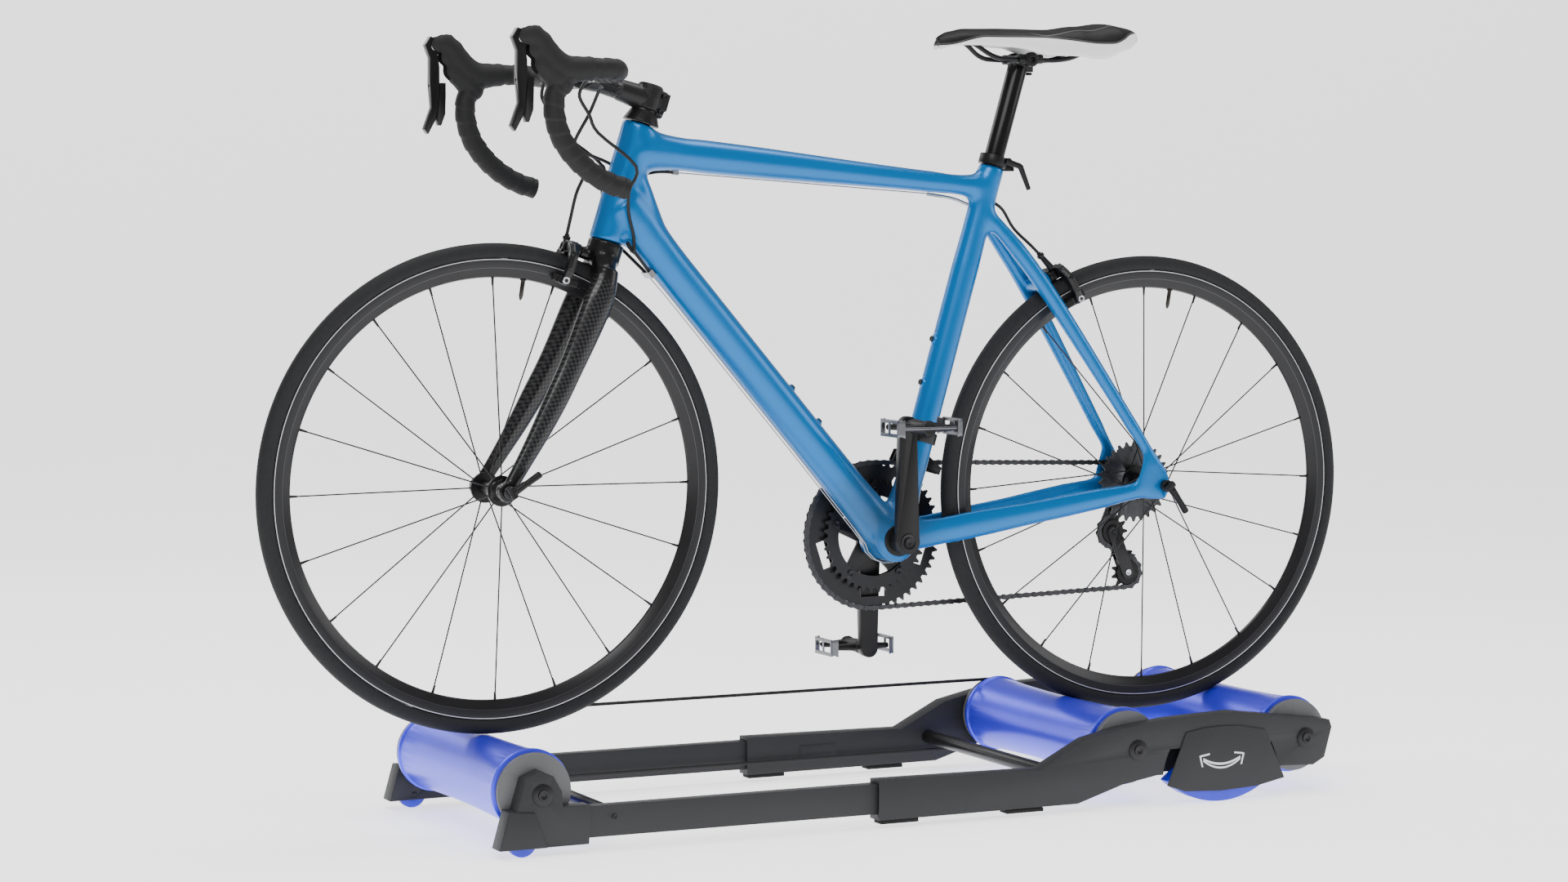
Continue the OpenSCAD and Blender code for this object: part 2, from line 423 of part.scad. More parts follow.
// ---- cables ----
module front_brake_cable() color("#141414") cord(curve([[bc[0] + 3, -92, bc[1] - 17.7], [bc[0] + 2, -82, bc[1] - 18.6], [bc[0] + 2, -72, bc[1] - 27], [bc[0] - 4, -56, bc[1] - 54], [bc[0] - 20, -36, bc[1] - 100], xz3(hs(90, 62), -8),
  xz3(hs(50, 62), 0), xz3(hs(18, 58), 6), xz3(hs(-8, 54), 12)], 5), 2.4, 8, [1, 0, 0]);
stop_s = dt_len - 105;             // housing stops under the down tube
module shift_housing(s) cord(curve([[bc[0] - 15.2, s*92, bc[1] - 9.4], [bc[0] - 16.4, s*82, bc[1] - 10], [bc[0] - 20, s*74, bc[1] - 16], [bc[0] - 23, s*68, bc[1] - 32], [bc[0] - 8, s*66, bc[1] - 56], [bc[0] + 6, s*63, bc[1] - 80], xz3(hs(104, 12), s*58), xz3(hs(70, 8), s*48),
  xz3(hs(42, -4), s*40), xz3(hs(16, -22), s*34), xz3(hs(-6, -30), s*32), xz3(dt(stop_s + 60, 34), s*24), xz3(dt(stop_s + 5.5, dt_r + 4.5), s*8.5)], 4), 2.4, 8, [1, 0, 0]);
module steering_housings() color("#141414") {
  shift_housing(-1);
  shift_housing(1);
  cord(curve([[bc[0] + 3, 92, bc[1] - 17.7], [bc[0] + 2, 82, bc[1] - 18.6], [bc[0] + 2, 72, bc[1] - 27], [bc[0] - 4, 56, bc[1] - 54], [bc[0] - 4, 48, bc[1] - 90], xz3(hs(110, 22), 40), xz3(hs(106, -4), 35), xz3(hs(108, -32), 24), xz3(tt(0.075, -27), 6), xz3(tt(0.1087, -26), 4)], 4), 2.4, 8, [0, 0, 1]);
}
function tt(t, dz) = tt_a + t*(tt_b - tt_a) + [0, dz];
module frame_cables() color("#9a9da1") {
  for (s = [-1, 1]) cord([xz3(dt(stop_s + 2, dt_r + 4.5), s*8.5), xz3(dt(stop_s - 40, dt_r + 3.5), s*7), xz3(dt(200, dt_r + 3), s*6), xz3(dt(40, dt_r + 4.5), s*5),
    xz3([bb[0] - 37, bb[1] - 6], s*5), xz3([bb[0] - 32.5, bb[1] - 18], s*5), xz3([bb[0] - 22, bb[1] - 28.5], s*5), xz3([bb[0] - 8, bb[1] - 34.5], s*5), xz3([bb[0] + 8, bb[1] - 34.5], s*5)], 0.9, 8, [0, 1, 0]);
  cord([xz3(tt(0.11, -26), 4), xz3(tt(0.5, -20.5), 3), xz3(tt(0.84, -17), 3)], 0.9, 8, [0, 1, 0]);
  plate(-13, 13) polygon([dt(stop_s - 5, dt_r + 0.3), dt(stop_s + 5, dt_r + 0.3), dt(stop_s + 5, dt_r + 8.5), dt(stop_s - 5, dt_r + 8.5)]);
  plate(0.5, 7.5) polygon([tt(0.11, -21.9), tt(0.125, -21.8), tt(0.125, -29), tt(0.11, -29)]);
  cord(curve([xz3(tt(0.83, -18), 3), xz3(tt(0.9, -20), 3), xz3(st(seat_tube_len - 64, -20.6), 2)], 4), 2.4, 8, [0, 1, 0]);
  cord(curve([xz3(st(seat_tube_len - 50, 19.9), 0), xz3(st(seat_tube_len - 56, 36), 0), xz3(st(seat_tube_len - 76.5, 59.9), -1), xz3(st(seat_tube_len - 92, 92.6), -3), xz3(st(seat_tube_len - 101, 110), -4)], 4), 2.4, 8, [0, 1, 0]);
}
// ---- axles and quick releases ----
module axle_rod(x, z, a, b) { ycyl(x, z, -b, a, rax); ycyl(x, z, a + 0.1, a + 9, 8); ycyl(x, z, -b - 8, -a - 0.1, 9); }
module front_axle() color("#8d9196") axle_rod(xf, zf, 60, 60);
module rear_axle() color("#8d9196") axle_rod(xr, zr, over, over);
module qr_lever(x, z, y, a) translate([x, -y, z]) rotate([0, -a, 0]) union() {
  translate([0, 0, -8]) cylinder(h = 16, r = 5);
  rod([0, 0, 0], [47, -1.5, 0], 4.8, 4);
}
module front_qr_lever() color("#161616") qr_lever(xf, zf, 73.4, 32);
module rear_qr_lever() color("#161616") qr_lever(xr, zr, over + 13.4, -55);
// ---- wheels ----
module front_tyre() color("#26272a") translate([xf, 0, zf]) wheel_tyre();
module front_rim() color("#1b1b1d") translate([xf, 0, zf]) wheel_rim();
module front_hub() color("#222225") translate([xf, 0, zf]) difference() {
  union() { ycyl(0, 0, -46, 46, 10); both() { ycyl(0, 0, 30, 34, 21); ycyl(0, 0, 34, 40, 15); } spoked(32, 18, 0); }
  ycyl(0, 0, -50, 50, rax + fit);
}
module rear_tyre() color("#26272a") translate([xr, 0, zr]) wheel_tyre();
module rear_rim() color("#1b1b1d") translate([xr, 0, zr]) wheel_rim();
module rear_hub() color("#222225") translate([xr, 0, zr]) difference() {
  union() { ycyl(0, 0, -59.5, 59.5, 8.5); ycyl(0, 0, -40, 17, 13); ycyl(0, 0, -36, -32, 24); ycyl(0, 0, 13, 17, 24); ycyl(0, 0, -59.5, -50, 12);
    for (i = [0:spokes - 1]) let (s = i % 2 == 0 ? 15 : -34, a = 360*i/spokes, k = (floor(i/2) % 2 == 0 ? 55 : -55))
      rod([21*cos(a + k), s, 21*sin(a + k)], [(Rin - 0.2)*cos(a), sign(s)*1.5, (Rin - 0.2)*sin(a)], 1, 1); }
  ycyl(0, 0, -62, 62, rax + fit);
}
cogs = [for (i = [0:8]) [cog_teeth + [-2, -1, 0, 1, 3, 6, 9, 12, 15][i], chain_y + [7.4, 3.7, 0, -4, -8, -12, -16, -20, -24][i]]];
module cassette() color("#2c2e33") difference() {
  union() {
    for (c = cogs) plate(c[1] - (c[1] > chain_y - 1 ? 0.7 : 0.9), c[1] + 0.7) translate([xr, zr]) rotate(90) toothed(c[0]);
    ycyl(xr, zr, 18.5, chain_y + 9.5, 15);
  }
  ycyl(xr, zr, 10, 70, 8.5);
}
// ---- cranks ----
cy0 = chain_y + 7;                // inner face of the right arm
module crank_arm(s, dir) {
  z1 = bb[1] + dir*crank_len;
  plate(min(s*cy0, s*(cy0 + 13)), max(s*cy0, s*(cy0 + 13))) polygon([[bb[0] - 17, bb[1]], [bb[0] + 17, bb[1]], [bb[0] + 12.5, z1], [bb[0] - 12.5, z1]]);
  ycyl(bb[0], bb[1], min(s*cy0, s*(cy0 + 13)), max(s*cy0, s*(cy0 + 13)), 17.5);
  ycyl(bb[0], z1, min(s*cy0, s*(cy0 + 13)), max(s*cy0, s*(cy0 + 13)), 13);
  ycyl(bb[0], z1, min(s*cy0, s*(cy0 + 70)), max(s*cy0, s*(cy0 + 70)), 7);
}
module crank_left() color("#1b1b1d") difference() {
  union() { crank_arm(-1, 1); ycyl(bb[0], bb[1], -cy0, -41, 17); }
  ycyl(bb[0], bb[1], -cy0 - 12, -30, spindle_r);
}
module crank_right() color("#1b1b1d") union() {
  crank_arm(1, -1);
  ycyl(bb[0], bb[1], -cy0 - 12, 42, spindle_r);
  ycyl(bb[0], bb[1], 41, cy0 + 1, 20);
  difference() {
    plate(chain_y - 6.4, chain_y - 1.1) at_xz(bb) for (i = [0:4]) rotate(90 + 72*i) polygon([[10, -17], [10, 17], [72, 9], [72, -9]]);
    for (i = [0:4]) ycyl(bb[0] + 65*cos(90 + 72*i), bb[1] + 65*sin(90 + 72*i), chain_y - 8, chain_y, 5);
  }
}
module chainrings() color("#242428") union() {
  plate(chain_y - 1, chain_y + 1) at_xz(bb) difference() { rotate(90) toothed(ring_teeth); circle(r = 58); for (i = [0:4]) rotate(126 + 72*i) translate([rr_ring*0.72, -20]) square([rr_ring*0.12, 40]); }
  plate(chain_y - 9, chain_y - 7) at_xz(bb) difference() { rotate(90) toothed(ring_teeth - 13); circle(r = 58); }
  for (i = [0:4]) ycyl(bb[0] + 65*cos(90 + 72*i), bb[1] + 65*sin(90 + 72*i), chain_y - 10, chain_y + 2, 5);
}
module pedal(s, dir) translate([bb[0], 0, bb[1] + dir*crank_len]) {
  ya = cy0 + 14.5; yb = cy0 + 84;
  plate(min(s*ya, s*yb), max(s*ya, s*yb)) difference() { polygon([[-53, -10], [-30, -14], [30, -14], [53, -10], [53, 10], [30, 14], [-30, 14], [-53, 10]]); polygon([[-50.5, -8], [-29, -12], [29, -12], [50.5, -8], [50.5, 8], [29, 12], [-29, 12], [-50.5, 8]]); }
}
module pedal_solid(s, dir) {
  ya = cy0 + 14; yb = cy0 + 84;
  difference() {
    union() {
      pedal(s, dir);
      translate([bb[0], 0, bb[1] + dir*crank_len]) {
        ycyl(0, 0, min(s*ya, s*(yb - 6)), max(s*ya, s*(yb - 6)), 11);
        box([-51, min(s*(ya + 22), s*(yb - 18)), -5], [51, max(s*(ya + 22), s*(yb - 18)), 5]);
        box([-22, min(s*(ya + 18), s*(yb - 14)), -13], [22, max(s*(ya + 18), s*(yb - 14)), 13]);
      }
    }
    translate([bb[0], 0, bb[1] + dir*crank_len]) ycyl(0, 0, min(s*(ya - 1), s*(yb - 12)), max(s*(ya - 1), s*(yb - 12)), 7 + fit);
  }
}
module pedal_left() color("#86898e") pedal_solid(-1, 1);
module pedal_right() color("#86898e") pedal_solid(1, -1);
// ---- brakes ----
module front_brake_arm_left() color("#2a2b2e") front_brake_at() brake_arm(1, 0.4, 11);
module front_brake_arm_right() color("#2a2b2e") front_brake_at() brake_arm(-1, -11, -0.4);
module rear_brake_arm_left() color("#2a2b2e") rear_brake_at() brake_arm(-1, 0.4, 11);
module rear_brake_arm_right() color("#2a2b2e") rear_brake_at() brake_arm(1, -11, -0.4);
// ---- gears ----
fd = st(150, 0);
module front_derailleur() color("#26272a") difference() {
  union() {
    rod(xz3(st(142, 0), 0), xz3(st(158, 0), 0), 23, 23);
    box([fd[0] - 10, 15, fd[1] - 6], [fd[0] + 22, 36, fd[1] + 8]);
    rod([fd[0] - 12, 36, fd[1]], [fd[0] + 26, 36, fd[1]], 3, 3);
  }
  rod(xz3(st(130, 0), 0), xz3(st(170, 0), 0), 19.6, 19.6);
}
module front_derailleur_cage() color("#1e1f21") difference() {
  union() {
    for (y = [chain_y - 6.6, chain_y + 4.4]) plate(y, y + 1.5) polygon([[fd[0] - 24, fd[1] - 36], [fd[0] + 10, fd[1] - 48], [fd[0] + 52, fd[1] - 60], [fd[0] + 56, fd[1] - 50], [fd[0] + 24, fd[1] - 22], [fd[0] - 16, fd[1] - 20]]);
    box([fd[0] - 10, chain_y - 6.6, fd[1] - 26], [fd[0] + 22, chain_y + 5.9, fd[1] - 22]);
    box([fd[0] + 23.5, 32, fd[1] - 26], [fd[0] + 28, chain_y - 5.1, fd[1] - 20]);
    box([fd[0] + 23.5, 31, fd[1] - 24], [fd[0] + 28, 41, fd[1] + 5]);
  }
  rod([fd[0] - 20, 36, fd[1]], [fd[0] + 40, 36, fd[1]], 3 + fit, 3 + fit);
}
hang = [xr + 1, zr - 27];
module rear_derailleur() color("#212226") union() {
  ycyl(hang[0], hang[1], over - 5.5, over, 5);
  ycyl(hang[0], hang[1], over + gap, over + 8, 11);
  ycyl(hang[0], hang[1], over - 1, over + 2, 5);
  rod([hang[0], over + 8.3, hang[1]], [guide[0], chain_y + 18, guide[1]], 6.3, 6.3);
  ycyl(guide[0], guide[1], chain_y + 8, chain_y + 22, 13);
  ycyl(guide[0], guide[1], chain_y - 7, chain_y + 9, 3);
}
module derailleur_cage() color("#2c2d31") difference() {
  union() {
    for (y = [chain_y - 6, chain_y + 4.6]) {
      plate(y, y + 1.4) hull_bar(guide, tension, 10);
    }
    ycyl(tension[0], tension[1], chain_y - 6, chain_y + 6, 3);
    ycyl(guide[0] + 30, guide[1] - 31, chain_y - 6, chain_y + 6, 2);
    for (y = [chain_y - 6, chain_y + 4.6]) plate(y, y + 1.4) polygon([guide + [0, -22], guide + [38, -36], tension + [10, 22], tension + [-6, 14]]);
  }
  ycyl(guide[0], guide[1], chain_y - 10, chain_y + 10, 3 + fit);
}
// flat link with round ends between two points
module hull_bar(p, q, r) { d = unit(q - p)*r; n = [-d[1], d[0]]; polygon([p + n, p - n, q - n, q + n]); at_xz(p) circle(r = r); at_xz(q) circle(r = r); }
module jockey(c, rbore) color("#17181a") difference() {
  union() { plate(chain_y - 1.1, chain_y + 1.1) at_xz(c) toothed(11); ycyl(c[0], c[1], chain_y - 4, chain_y + 4, rr_jockey - 5); }
  ycyl(c[0], c[1], chain_y - 6, chain_y + 6, rbore);
}
module guide_pulley() jockey(guide, 3 + fit);
module tension_pulley() jockey(tension, 3 + fit);
// chain: two rows of side plates with rollers on the free runs
module rollers(a, b) let (L = norm(b - a), t = unit(b - a)) for (k = [1:1:floor(L/pitch) - 1]) let (p = a + t*k*pitch)
  ycyl(p[0], p[1], chain_y - 2, chain_y + 2, 3.2);
th1 = th(chain_c, 0, 1);
th4 = th(chain_c, 3, 0);
function touch(i, t) = [chain_c[i][0] + chain_c[i][2]*sin(t), chain_c[i][1] - chain_c[i][2]*cos(t)];
module chain() color("#3c3e42") {
  for (y = [chain_y - 2.75, chain_y + 1.65]) plate(y, y + 1.1) belt_ring(chain_c, -3.4);
  rollers(touch(0, th1) + 34*[cos(th1), sin(th1)], touch(1, th1) - 14*[cos(th1), sin(th1)]);
  rollers(touch(3, th4) + 12*[cos(th4), sin(th4)], touch(0, th4) - 38*[cos(th4), sin(th4)]);
}

side_frames();
base_rods();
rocker_covers();
grip_pads();
nose_frames();
nose_rods();
nose_covers();
foot_wheel_left();
foot_wheel_right();
rocker_wheel_left();
rocker_wheel_right();
front_drum();
middle_drum();
rear_drum();
drive_belt();
front_triangle();
rear_triangle();
seat_clamp();
frame_cables();
rear_axle();
rear_qr_lever();
steering_housings();
seatpost();
saddle();
fork();
headset();
stem();
handlebar();
bar_tape();
brake_hoods();
front_brake_cable();
front_axle();
front_qr_lever();
brake_lever_left();
brake_lever_right();
shift_paddle_left();
shift_paddle_right();
front_tyre();
front_rim();
front_hub();
rear_tyre();
rear_rim();
rear_hub();
cassette();
crank_left();
crank_right();
chainrings();
pedal_left();
pedal_right();
front_brake_arm_left();
front_brake_arm_right();
rear_brake_arm_left();
rear_brake_arm_right();
front_derailleur();
front_derailleur_cage();
rear_derailleur();
derailleur_cage();
guide_pulley();
tension_pulley();
chain();
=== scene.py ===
import json
import math

import bpy
from mathutils import Matrix, Vector


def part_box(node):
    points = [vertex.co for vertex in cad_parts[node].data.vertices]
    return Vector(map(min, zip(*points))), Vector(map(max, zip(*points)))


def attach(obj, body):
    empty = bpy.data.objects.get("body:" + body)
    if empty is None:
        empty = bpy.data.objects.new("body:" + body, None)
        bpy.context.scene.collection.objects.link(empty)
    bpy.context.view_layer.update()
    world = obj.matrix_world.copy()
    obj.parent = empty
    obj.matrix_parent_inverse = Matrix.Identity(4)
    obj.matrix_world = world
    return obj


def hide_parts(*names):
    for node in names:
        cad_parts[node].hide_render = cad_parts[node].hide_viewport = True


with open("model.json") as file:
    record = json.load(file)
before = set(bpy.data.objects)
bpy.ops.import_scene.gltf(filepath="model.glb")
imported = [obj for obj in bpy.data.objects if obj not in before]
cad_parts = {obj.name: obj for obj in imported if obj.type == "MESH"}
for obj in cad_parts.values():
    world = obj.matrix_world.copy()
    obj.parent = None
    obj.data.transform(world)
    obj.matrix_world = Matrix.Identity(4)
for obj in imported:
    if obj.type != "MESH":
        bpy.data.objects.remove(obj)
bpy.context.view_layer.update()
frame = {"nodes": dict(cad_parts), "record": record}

# ---------------------------------------------------------------- studio
# A plain pale floor that curves up behind the bicycle, lit by wide soft panels.
# The floor is matt paper that glows softly, so it only takes faint shadows of tyres and drums.


class Value:
    """A number, colour or vector inside a material; sums on it add Math nodes."""

    def __init__(self, finish, socket):
        self.finish = finish
        self.socket = socket

    def sum_of(self, operation, first, second):
        return self.finish.node("ShaderNodeMath", {"operation": operation}, {0: first, 1: second})

    def __add__(self, other):
        return self.sum_of("ADD", self, other)

    def __radd__(self, other):
        return self.sum_of("ADD", other, self)

    def __sub__(self, other):
        return self.sum_of("SUBTRACT", self, other)

    def __rsub__(self, other):
        return self.sum_of("SUBTRACT", other, self)

    def __mul__(self, other):
        return self.sum_of("MULTIPLY", self, other)

    def __rmul__(self, other):
        return self.sum_of("MULTIPLY", other, self)

    def __truediv__(self, other):
        return self.sum_of("DIVIDE", self, other)

    def __pow__(self, other):
        return self.sum_of("POWER", self, other)


class Finish:
    """A material in the making: its main shader and the nodes that feed it."""

    def __init__(self, name, color, roughness=0.5, **fixed):
        self.material = bpy.data.materials.new(name)
        self.material.use_nodes = True
        self.tree = self.material.node_tree
        self.shader = self.tree.nodes["Principled BSDF"]
        self.shader.inputs["Base Color"].default_value = (*color, 1)
        self.shader.inputs["Roughness"].default_value = roughness
        for socket in self.shader.inputs:
            if socket.name.lower().replace(" ", "_") in fixed:
                socket.default_value = fixed[socket.name.lower().replace(" ", "_")]
        self.material.diffuse_color = (*color, 1)
        self.color = color
        self.at = self.node("ShaderNodeTexCoord", out="Object")

    def node(self, kind, settings=None, feeds=None, out=0):
        made = self.tree.nodes.new(kind)
        for name, value in (settings or {}).items():
            if name == "stops":
                ramp = made.color_ramp
                while len(ramp.elements) < len(value):
                    ramp.elements.new(0.5)
                for element, (place, color) in zip(ramp.elements, value):
                    element.position = place
                    element.color = (*color, 1)
            else:
                setattr(made, name, value)
        for key, value in (feeds or {}).items():
            self.feed(made.inputs[key], value)
        return Value(self, made.outputs[out])

    def feed(self, socket, value):
        if isinstance(value, Value):
            self.tree.links.new(value.socket, socket)
        else:
            socket.default_value = value

    def set(self, name, value):
        self.feed(self.shader.inputs[name], value)

    def noise(self, scale, detail=2.0, rough=0.5, at=None):
        feeds = {"Vector": at or self.at, "Scale": scale, "Detail": detail, "Roughness": rough}
        return self.node("ShaderNodeTexNoise", {}, feeds)

    def step(self, value, low, high):
        """0 below low, 1 above high, smooth between."""
        feeds = {"Value": value, "From Min": low, "From Max": high}
        return self.node("ShaderNodeMapRange", {"interpolation_type": "SMOOTHSTEP"}, feeds)

    def mix(self, mask, low, high):
        ends = [(*c, 1) if isinstance(c, tuple) else c for c in (low, high)]
        feeds = {0: mask, 6: ends[0], 7: ends[1]}
        return self.node("ShaderNodeMix", {"data_type": "RGBA"}, feeds, out=2)

    def waves(self, value, half):
        """Straight ramps up to half and down to 0 as the value grows."""
        return self.node("ShaderNodeMath", {"operation": "PINGPONG"}, {0: value, 1: half})

    def bump(self, height, depth, strength=1.0):
        feeds = {"Height": height, "Distance": depth, "Strength": strength}
        self.set("Normal", self.node("ShaderNodeBump", {}, feeds))

    def axis(self, name, about=(0, 0, 0)):
        """The x, y or z of a point of the piece, measured from about."""
        moved = self.node("ShaderNodeVectorMath", {"operation": "SUBTRACT"}, {0: self.at, 1: about})
        return self.node("ShaderNodeSeparateXYZ", {}, {0: moved}, out=name)

    def radius(self, axle):
        """Distance from an axle that runs along Y."""
        x = self.axis("X", axle)
        z = self.axis("Z", axle)
        return (x * x + z * z) ** 0.5

    def worn(self, amount=0.06, scale=60.0):
        """Slight handling marks: roughness and shade vary over a few centimetres."""
        marks = self.noise(scale, 4.0, 0.6)
        rough = self.shader.inputs["Roughness"].default_value
        self.set("Roughness", marks * (2 * amount) + (rough - amount))
        dark = tuple(c * 0.86 for c in self.color)
        light = tuple(min(1.0, c * 1.12) for c in self.color)
        self.set("Base Color", self.mix(marks, dark, light))
        return self


def dull(name, color, roughness, **fixed):
    """A finish with half the usual mirror strength, for plastics, rubbers and enamels."""
    return Finish(name, color, roughness, specular_ior_level=0.25, **fixed)


def alone(piece):
    """Only this piece is selected and active."""
    bpy.ops.object.select_all(action="DESELECT")
    piece.select_set(True)
    bpy.context.view_layer.objects.active = piece


def pick(test):
    """In edit mode: selects the faces whose centre and normal pass the test."""
    bpy.ops.mesh.select_mode(type="FACE")
    bpy.ops.mesh.select_all(action="DESELECT")
    bpy.ops.object.mode_set(mode="OBJECT")
    piece = bpy.context.object
    for face in piece.data.polygons:
        face.select = bool(test(face.center, face.normal))
    bpy.ops.object.mode_set(mode="EDIT")


paper = Finish("pale paper", (0.86, 0.86, 0.865), 0.9, specular_ior_level=0.1, emission_strength=1.5)
paper.set("Emission Color", (1.0, 1.0, 1.0, 1))
paper.bump(paper.noise(900.0, 3.0), 0.0001, 0.3)
bpy.ops.object.select_all(action="DESELECT")
bpy.ops.mesh.primitive_plane_add(size=16, location=(0, 0, 0))
floor = bpy.context.object
floor.name = "floor"
bpy.ops.object.mode_set(mode="EDIT")
bpy.ops.mesh.subdivide(number_cuts=40)
bpy.ops.object.mode_set(mode="OBJECT")
SWEEP_START = 4.0
SWEEP_RADIUS = 4.0
for vertex in floor.data.vertices:
    past = max(0.0, vertex.co.y - SWEEP_START)
    turn = min(past / SWEEP_RADIUS, math.pi / 2)
    if past > 0:
        vertex.co.y = SWEEP_START + SWEEP_RADIUS * math.sin(turn)
        vertex.co.z = SWEEP_RADIUS * (1 - math.cos(turn))
floor.data.materials.append(paper.material)
bpy.ops.object.shade_smooth()

world = bpy.data.worlds.new("studio")
bpy.context.scene.world = world
world.use_nodes = True
world.node_tree.nodes["Background"].inputs["Color"].default_value = (1.0, 1.0, 1.0, 1)
world.node_tree.nodes["Background"].inputs["Strength"].default_value = 0.4


def light(name, place, aim, size, watts):
    """A square soft panel at place, facing aim."""
    panel = bpy.data.lights.new(name, "AREA")
    panel.shape = "RECTANGLE"
    panel.size, panel.size_y = size
    panel.energy = watts
    lamp = bpy.data.objects.new(name, panel)
    bpy.context.collection.objects.link(lamp)
    lamp.location = place
    lamp.rotation_euler = (Vector(aim) - Vector(place)).to_track_quat("-Z", "Y").to_euler()


light("key panel", (-1.8, -2.6, 3.2), (0, 0, 0.5), (2.4, 1.6), 95)
light("top panel", (0.2, 0.4, 3.4), (0, 0, 0.4), (3.0, 1.4), 80)
light("side panel", (3.4, -1.6, 1.8), (0, 0, 0.5), (1.6, 1.6), 30)
light("back panel", (-1.5, 3.2, 2.4), (0, 0, 0.6), (2.6, 1.2), 36)

camera = bpy.data.objects.new("camera", bpy.data.cameras.new("camera"))
bpy.context.collection.objects.link(camera)
camera.location = (-2.2855, -4.6904, 0.8819)
camera_aim = Vector((-0.07385, 0, 0.5177))
camera.rotation_euler = (camera_aim - camera.location).to_track_quat("-Z", "Y").to_euler()
camera.data.lens = 84.87
camera.data.sensor_width = 36
bpy.context.scene.camera = camera

# ---------------------------------------------------------------- roller side walls
# Moulded glass-filled plastic walls with a fine spark-eroded grain. The rear pair is
# a sleeve that the nose's rails slide in; hex screws hold the drum axles through them.

record = frame["record"]
body_of = {n: body for body, nodes in record["behaviour"]["bodies"].items() for n in nodes}
joint = {j["name"]: j for j in record["behaviour"]["joints"]}


def settle(piece, finish, node, replaces=True):
    """Gives a finished piece its material and the body of the node it stands for, and hides that node when
    the piece replaces it.
    """
    if finish is not None:
        piece.data.materials.clear()
        piece.data.materials.append(finish.material)
    piece.name = piece.name.replace(" ", "_")
    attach(piece, body_of[node])
    if replaces:
        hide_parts(node)
    return piece


def merged_copy(node, name):
    """The CAD node's own shape as a new mesh with whole faces and shared corners."""
    piece = bpy.data.objects.new(name, frame["nodes"][node].data.copy())
    bpy.context.collection.objects.link(piece)
    alone(piece)
    bpy.ops.object.mode_set(mode="EDIT")
    bpy.ops.mesh.select_all(action="SELECT")
    bpy.ops.mesh.remove_doubles(threshold=0.00001)
    bpy.ops.mesh.dissolve_limited(angle_limit=math.radians(0.6))
    bpy.ops.object.mode_set(mode="OBJECT")
    return piece


def modified(piece, kind, **settings):
    """Applies one modifier of this kind to the piece."""
    alone(piece)
    change = piece.modifiers.new(kind, kind)
    for name, value in settings.items():
        setattr(change, name, value)
    bpy.ops.object.modifier_apply(modifier=kind)


def eased(piece, width, angle=38):
    """Rounds the sharp edges by width metres and shades the rest smooth."""
    turn = math.radians(angle)
    if width:
        modified(piece, "BEVEL", width=width, segments=2, limit_method="ANGLE", angle_limit=turn)
    alone(piece)
    bpy.ops.object.shade_smooth_by_angle(angle=turn)
    return piece


def built(name, vertices, faces, edges=()):
    """A new piece made of these corners and faces."""
    mesh = bpy.data.meshes.new(name)
    mesh.from_pydata(vertices, edges, faces)
    piece = bpy.data.objects.new(name, mesh)
    bpy.context.collection.objects.link(piece)
    return piece


def outward(piece, merge=0):
    """Joins corners closer than merge and turns every face outwards."""
    alone(piece)
    bpy.ops.object.mode_set(mode="EDIT")
    bpy.ops.mesh.select_all(action="SELECT")
    if merge:
        bpy.ops.mesh.remove_doubles(threshold=merge)
    bpy.ops.mesh.normals_make_consistent(inside=False)
    bpy.ops.object.mode_set(mode="OBJECT")
    return piece


def from_cad(node, finish, width=0.0006, name=None):
    piece = eased(merged_copy(node, name or node + "_finished"), width)
    return settle(piece, finish, node)


def joined(pieces, name):
    alone(pieces[0])
    for piece in pieces:
        piece.select_set(True)
    bpy.ops.object.join()
    pieces[0].name = name
    pieces[0].data.name = name
    return pieces[0]


def place_in_mesh(piece):
    alone(piece)
    bpy.ops.object.transform_apply(location=True, rotation=True, scale=True)
    return piece


def primitive(operator, **settings):
    """A new basic mesh, with its place and turn worked into the mesh."""
    bpy.ops.object.select_all(action="DESELECT")
    operator(**settings)
    return place_in_mesh(bpy.context.object)


def turned(axis):
    return Vector(axis).to_track_quat("Z", "Y").to_euler()


def screw(at, axis, radius, height):
    """A cap screw: a drum with a rounded rim and a hexagon socket in its face."""
    out = Vector(axis).normalized()
    piece = primitive(bpy.ops.mesh.primitive_cylinder_add, vertices=24, radius=radius, depth=height,
                      location=Vector(at) + out * (height / 2), rotation=turned(axis))
    bpy.ops.object.mode_set(mode="EDIT")
    pick(lambda c, n: n.dot(out) > 0.9)
    bpy.ops.mesh.inset(thickness=radius * 0.14, depth=0)
    bpy.ops.mesh.inset(thickness=radius * 0.34, depth=0)
    bpy.ops.mesh.extrude_region_move(TRANSFORM_OT_translate={"value": out * (-0.6 * height)})
    bpy.ops.object.mode_set(mode="OBJECT")
    return eased(piece, radius * 0.1, 50)


def disc(at, axis, radius, height, steps=((1.0, 0.0),), vertices=48, edge=0.0004):
    """A turned part: a drum whose outer face is stepped in by (share of radius, rise)."""
    out = Vector(axis).normalized()
    piece = primitive(bpy.ops.mesh.primitive_cylinder_add, vertices=vertices, radius=radius, depth=height,
                      location=Vector(at) + out * (height / 2), rotation=turned(axis))
    bpy.ops.object.mode_set(mode="EDIT")
    pick(lambda c, n: n.dot(out) > 0.9)
    inner = 1.0
    for share, rise in steps:
        if share < inner:
            bpy.ops.mesh.inset(thickness=radius * (inner - share), depth=0)
            inner = share
        if rise:
            bpy.ops.mesh.extrude_region_move(TRANSFORM_OT_translate={"value": out * rise})
    bpy.ops.object.mode_set(mode="OBJECT")
    return eased(piece, edge, 38)


